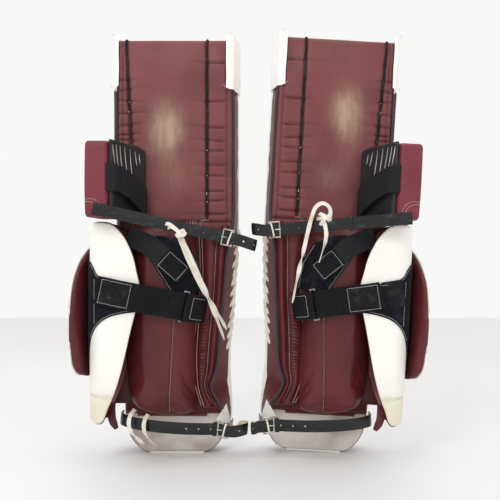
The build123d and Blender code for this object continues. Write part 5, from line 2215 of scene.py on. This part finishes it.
LACES = {
    Side.RIGHT: (
        LaceRoute("knee_lace_upper", "knee_lace", Follow.SHIN, 233.4, (
            (18, 129, 489), (26, 131, 470), (40, 129, 440), (53, 126, 410), (65, 121, 382), (78, 114, 353),
            (92, 101, 324), (106, 89, 300), (113, 83, 284)), 1.2),
        LaceRoute("knee_lace_under", "knee_lace", Follow.SHIN, 252.8, (
            (14, 129, 487), (22, 131, 466), (35, 130, 434), (50, 128, 402), (64, 120, 372), (80, 111, 342),
            (91, 97, 312), (101, 86, 284), (108, 80, 261)), -1.4),
        LaceRoute("toe_lace_outer", "toe_lace", Follow.BOOT, 97.9, (
            (-81, 102, 116), (-86, 120, 112), (-90, 127, 98), (-88, 127, 80), (-76, 122, 64),
            (-60, 113, 46)), 0.8),
        LaceRoute("toe_lace_inner", "toe_lace", Follow.BOOT, 93.7, (
            (-52, 108, 107), (-54, 126, 106), (-57, 136, 94), (-56, 135, 76), (-46, 127, 58),
            (-33, 117, 44)), -0.7),
    ),
    Side.LEFT: (
        LaceRoute("knee_lace_loop", "knee_lace", Follow.SHIN, 263.7, (
            (6, 128, 519), (3, 131, 531), (9, 133, 544), (24, 134, 550), (37, 133, 540), (43, 132, 520),
            (48, 131, 494), (53, 129, 462), (59, 126, 428), (64, 123, 395), (69, 121, 362), (72, 118, 337)),
            1.3),
        LaceRoute("knee_lace_tail", "knee_lace", Follow.SHIN, 98.0, (
            (20, 128, 520), (15, 131, 506), (10, 132, 486), (12, 131, 464), (18, 130, 443), (22, 129, 425)),
            -0.6),
    ),
}


@dataclass
class Laces:
    """The flat cotton laces that are threaded through the pad, and their knots.

    Attributes:
        place: The pad.
        cloths: The materials.
        width: Of a lace.
        thickness: Of a lace.
    """

    place: PadPlace
    cloths: Wardrobe
    width: float = 9.0
    thickness: float = 1.5

    @staticmethod
    def eased(route: Route) -> np.ndarray:
        """The points along a NURBS line steered by a route, in the pad's frame, in millimetres."""
        curve = bpy.data.curves.new("lace_route", "CURVE")
        curve.dimensions, curve.resolution_u = "3D", 10
        spline = curve.splines.new("NURBS")
        spline.points.add(len(route) - 1)
        for point, place in zip(spline.points, route):
            point.co = (*place, 1.0)
        spline.order_u, spline.use_endpoint_u = 3, True
        guide = bpy.data.objects.new("lace_route", curve)
        bpy.context.scene.collection.objects.link(guide)
        mesh = bpy.data.meshes.new_from_object(guide.evaluated_get(bpy.context.evaluated_depsgraph_get()))
        line = np.array([v.co for v in mesh.vertices])
        bpy.data.objects.remove(guide)
        bpy.data.meshes.remove(mesh)
        return line

    def build_lace(self, lace: LaceRoute) -> bpy.types.Object:
        """Builds and dresses one lace.

        Args:
            lace: The way it lies.

        Returns:
            The lace.
        """
        path = self.eased(lace.route)
        line = evenly(path, 2.5)
        along = directions(line)
        turn = np.linspace(0, 1, len(line))
        angle = lace.twist * math.pi * smoothstep((turn - 0.45) / 0.4) + 0.35 * np.sin(turn * 9)
        look = np.column_stack([np.zeros(len(line)), np.ones(len(line)), np.full(len(line), 0.15)])
        side = unit(np.cross(along, look))
        look = np.cos(angle)[:, None] * np.cross(side, along) + np.sin(angle)[:, None] * side
        width = np.full(len(line), self.width) * (1 - 0.12 * np.abs(np.sin(turn * 17)))
        width[-4:] *= np.array([0.85, 0.6, 0.45, 0.4])
        piece = Form().ribbon(line, look, width, self.thickness, across=5, wear=0.2).build(
            lace.name, self.place, [self.cloths["lace"]], 55)
        self.place.dress(piece, lace.follow, "lace_cotton", [lace.node])
        ends = self.place.world(path)
        tuple(ends[0])
        self.width * MM
        [tuple(p) for p in ends]
        return piece

    def build_knots(self) -> None:
        """The lace where it is knotted and where it goes over the knee strap."""
        if self.place.side is Side.RIGHT:
            wraps = [[(-24, 122, 501), (-18, 131, 508), (-6, 136, 509), (8, 136, 500), (18, 132, 490)],
                     [(-10, 129, 500), (0, 137, 503), (12, 138, 496), (20, 134, 487)],
                     [(27, 127, 496), (18, 137, 492), (13, 138, 486), (18, 134, 480)],
                     [(10, 130, 488), (18, 138, 485), (27, 134, 487), (28, 128, 492)]]
        else:
            wraps = [[(2, 118, 505), (5, 127, 512), (12, 134, 519), (20, 133, 524), (27, 127, 527)],
                     [(24, 118, 500), (22, 128, 506), (17, 134.5, 514), (10, 134, 521), (4, 128, 526)],
                     [(30, 118, 516), (24, 130, 517), (14, 136.5, 518), (4, 132, 516), (-2, 120, 514)]]
        form = Form()
        for k, knots in enumerate(wraps):
            line = line_through(knots, 2.0)
            form.ribbon(line, np.array((0.15 * k - 0.15, 1.0, 0.2)), self.width * 0.85, self.thickness + 0.5,
                        across=5, wear=0.3)
        piece = form.build("knee_lace_knot", self.place, [self.cloths["lace"]], 55)
        self.place.dress(piece, Follow.SHIN, "lace_cotton")

    def build(self) -> None:
        """Builds every lace of the pad."""
        for lace in LACES[self.place.side]:
            self.build_lace(lace)


@dataclass
class BootLining:
    """The pale lining behind the boot flare, with painted shade that deepens towards its top.

    Attributes:
        place: The pad.
        cloths: The materials.
    """

    place: PadPlace
    cloths: Wardrobe

    def build(self, seamstress: Seamstress) -> bpy.types.Object:
        """Builds and dresses the lining and the burgundy welt over it, and returns the lining."""
        rows = 13 + rim_steps(172, 5, 6)
        back = panel_grid(rows, lambda z: -FACE_HALF(z) + BACK_INSET + 1.5, lambda z: LATERAL_BACK(z) - 1.5,
                          lambda x, z: 61.6 + 0.7 * ripple(x, z, 26, 61) - 1.4 * bell(np.abs(x) - 58, 2.5),
                          5, 6)
        under = back.copy()
        under[..., 1] = COVER_DEPTH - 0.6
        back[..., 1] = under[..., 1] + (back[..., 1] - under[..., 1]) * rounded(rim_distance(under), 5)
        # Painted shade: darker from 80 mm upwards, towards the cushion above, in uneven patches, through
        # both marks.
        under_cushion_shade = np.clip(0.5 * smoothstep((back[..., 2] - 80) / 60) + 0.2 * ripple(back[..., 0], back[..., 2],
                                                                                 30, 62),
                       0, 1)
        form = Form().sheet(boot_bend(back), boot_bend(under), wear=under_cushion_shade * 0.7, crease=under_cushion_shade * 0.6)
        piece = form.build("boot_back_lining", self.place, [self.cloths["shade"]], 60)
        self.place.dress(piece, Follow.BOOT, "faded_lining")
        rows = 106 + rim_steps(82, 4, 4)
        cuff = panel_grid(rows, lambda z: -FACE_HALF(z) + BACK_INSET - 0.5, lambda z: LATERAL_BACK(z) + 0.5,
                          lambda x, z: 64.0 + 0.8 * ripple(x, z, 18, 63) + 2.2 * bell(z - 112, 7), 4, 4)
        # Painted shade: the cuff is darkened a little all over.
        cuffed = Form().shell(boot_bend(cuff), 3.2, 3.0, crease=0.3).build("boot_cuff", self.place,
                                                                         [self.cloths["deep"]], 60)
        self.place.dress(cuffed, Follow.BOOT, "burgundy_leather")
        x = np.arange(-84.0, 70.0, 3.0)
        line = boot_bend(np.stack([x, np.full_like(x, 66.0), np.full_like(x, 104.5)], axis=1))
        welt = Form().tube(line, 4.2, 10).build("boot_welt", self.place, [self.cloths["deep"]], 60)
        self.place.dress(welt, Follow.BOOT, "burgundy_leather")
        corners = np.array([(88, 92), (122, 84), (112, 130)], float)
        share = np.linspace(0, 1, 7)
        edge = corners[0] + (corners[1] - corners[0]) * share[:, None]
        rows = edge[None] + (corners[2] - edge[None]) * share[:, None, None] * 0.98
        grid = np.stack([rows[..., 0], 67.5 - 0.12 * (rows[..., 0] - 100), rows[..., 1]], axis=-1)
        anchor = Form().shell(boot_bend(grid), 2.4, 2.0).build("strap_anchor_patch", self.place,
                                                              [self.cloths["white"]], 60)
        self.place.dress(anchor, Follow.BOOT, "white_synthetic")
        seam = Surface(piece)
        lines = [seam.under(self.place, np.array([(a, z) for z in np.arange(20.0, 96.0, 4.0)]), 0.2)
                 for a in (-60.0, 60.0)]
        sewn = seamstress.sew(self.place.node("boot_stitches"), [line for line in lines if len(line) > 2],
                              self.cloths["thread"])
        self.place.dress(sewn, Follow.BOOT, "stitching")
        return piece


# ------------------------------------------------------------------ what the frame's own nodes are made of
SHOWN_NODES = {
    "thigh_core": "foam", "shin_core": "foam", "shin_board": "board", "knee_block_core": "foam",
    "boot_core": "foam", "strap_slide": "slide", "knee_buckle": "steel", "boot_buckle": "steel",
    "knee_prong": "steel", "boot_prong": "steel", "knee_chape": "strap", "boot_chape": "strap",
}


def finish_nodes(place: PadPlace, nodes: dict[str, bpy.types.Object], cloths: Wardrobe) -> None:
    """Gives the frame's visible nodes of one pad their materials."""
    for name, cloth in SHOWN_NODES.items():
        mesh = nodes[place.node(name)].data
        mesh.materials.clear()
        mesh.materials.append(cloths[cloth])
        mesh.shade_smooth()
        mesh.set_sharp_from_angle(angle=math.radians(30))
        log.info("%s is finished in %s", place.node(name), cloth)


class Studio:
    """The camera, the lights, the pale floor and the world."""

    CAMERA = (0.0, -1.423, 0.455)
    LENS = 47.4
    FLOOR = 6.0

    def build_camera(self) -> None:
        """Sets the camera level behind the pads."""
        camera = bpy.data.cameras.new("camera")
        camera.lens, camera.sensor_width = self.LENS, 36.0
        stand = bpy.data.objects.new("camera", camera)
        stand.location, stand.rotation_euler = self.CAMERA, (math.pi / 2, 0.0, 0.0)
        bpy.context.scene.collection.objects.link(stand)
        bpy.context.scene.camera = stand

    @staticmethod
    def add_light(name: str, place: tuple[float, float, float], aim: tuple[float, float, float],
                  power: float,
                  size: float) -> None:
        """Adds a soft square light that looks at a point."""
        light = bpy.data.lights.new(name, "AREA")
        light.energy, light.size = power, size
        lamp = bpy.data.objects.new(name, light)
        lamp.location = place
        lamp.rotation_euler = (Vector(aim) - Vector(place)).to_track_quat("-Z", "Y").to_euler()
        bpy.context.scene.collection.objects.link(lamp)

    def build_room(self) -> None:
        """Sets the lights, the world and the floor."""
        self.add_light("key", (-0.9, -1.9, 2.0), (0.0, 0.0, 0.5), 17.0, 0.8)
        self.add_light("fill", (1.7, -2.0, 1.0), (0.0, 0.0, 0.4), 4.0, 1.8)
        self.add_light("top", (0.0, -0.3, 2.4), (0.0, 0.0, 0.4), 6.0, 1.2)
        world = bpy.data.worlds.new("studio")
        world.use_nodes = True
        backdrop = world.node_tree.nodes["Background"]
        backdrop.inputs["Color"].default_value = (0.97, 0.968, 0.965, 1.0)
        backdrop.inputs["Strength"].default_value = 0.97
        bpy.context.scene.world = world
        bpy.context.scene.view_settings.view_transform = "Standard"
        half = self.FLOOR / 2
        mesh = bpy.data.meshes.new("floor")
        mesh.from_pydata([(-half, -half, 0), (half, -half, 0), (half, half, 0), (-half, half, 0)], [],
                         [(0, 1, 2, 3)])
        floor = linked(mesh)
        s = Shader("pale_floor")
        mesh.materials.append(s.finish(s.mix(s.noise(1.4, 3), (0.88, 0.875, 0.87), (0.8, 0.795, 0.79)),
                                       0.55))


def build_pad(place: PadPlace, nodes: dict[str, bpy.types.Object], cloths: Wardrobe, seamstress: Seamstress,
              cushion: CushionShape) -> None:
    """Builds every sub-assembly of one pad.

    Args:
        place: Where the pad is.
        nodes: The frame's nodes.
        cloths: The materials.
        seamstress: Sews the seams.
        cushion: The inflated shape of the shin cushion.
    """
    right = place.side is Side.RIGHT
    FrontCover(place, cloths).build(seamstress)
    LegLining(place, cloths, patch=(-14.0, 722.0) if right else (-25.0, 757.0),
              band_inset=0.0 if right else 8.0).build(seamstress)
    ShinCushion(place, cloths, cushion).build(seamstress)
    KneeBlock(place, cloths).build(seamstress)
    CalfGuards(place, cloths).build(seamstress)
    if right:
        CalfStraps(place, cloths).build(seamstress)
    else:
        CalfStraps(place, cloths, patch=(-106.0, -37.0), strap_end=-108.0).build(seamstress)
    for strap in leather_straps(place, cloths):
        strap.build()
    Laces(place, cloths).build_knots()
    BootLining(place, cloths).build(seamstress)
    finish_nodes(place, nodes, cloths)
    log.info("the %s pad is done", place.side.value)


def leather_straps(place: PadPlace, cloths: Wardrobe) -> tuple[LeatherStrap, LeatherStrap]:
    """The two leather straps of one pad."""
    knee_run = ((-153, 189.4), (-128, 190), (-107, 187.5), (-82, 172), (-50, 152), (0, 129), (40, 118),
                (70, 101),
                (92, 90.5), (107, 88.6), (129, 96.9))
    boot_run = ((-113, 62), (-112, 88), (-88, 110), (-40, 124), (20, 124), (66, 114), (96, 106.6),
                (118, 114.9))
    knee_holes, boot_holes = (38.0, 63.0, 88.0), (30.0, 55.0, 80.0)
    if place.side is Side.RIGHT:
        return (LeatherStrap(place, cloths, "knee_strap", Follow.SHIN, 506, 12, knee_run,
                             ((142, 97.5), (162, 97), (180, 86), (178, 72), (160, 67)), -6, knee_holes, 98),
                LeatherStrap(place, cloths, "boot_strap", Follow.BOOT, 84, 5, boot_run,
                             ((130, 113), (146, 108), (158, 96), (154, 82), (138, 78)), 10, boot_holes, 88))
    return (LeatherStrap(place, cloths, "knee_strap", Follow.SHIN, 504.5, 7.5, knee_run,
                         ((142, 97.5), (156, 96), (166, 84), (158, 72), (144, 72)), 14, knee_holes, -38),
            LeatherStrap(place, cloths, "boot_strap", Follow.BOOT, 84, 5, boot_run,
                         ((129, 115.5), (137, 120.5), (143, 117), (141, 109), (133, 106)), -12, boot_holes,
                         88))


def main() -> None:
    """Builds the studio, the cords and both pads round the frame."""
    logging.basicConfig(level=logging.INFO, format="%(message)s")
    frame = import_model()
    studio = Studio()
    studio.build_camera()
    cloths = Wardrobe()
    places = [PadPlace.from_joints(side, frame["joints"]) for side in Side]
    for place in places:
        Laces(place, cloths).build()
    studio.build_room()
    seamstress = Seamstress()
    cushion = CushionShape()
    for place in places:
        build_pad(place, frame["nodes"], cloths, seamstress, cushion)


if __name__ == "__main__":
    main()
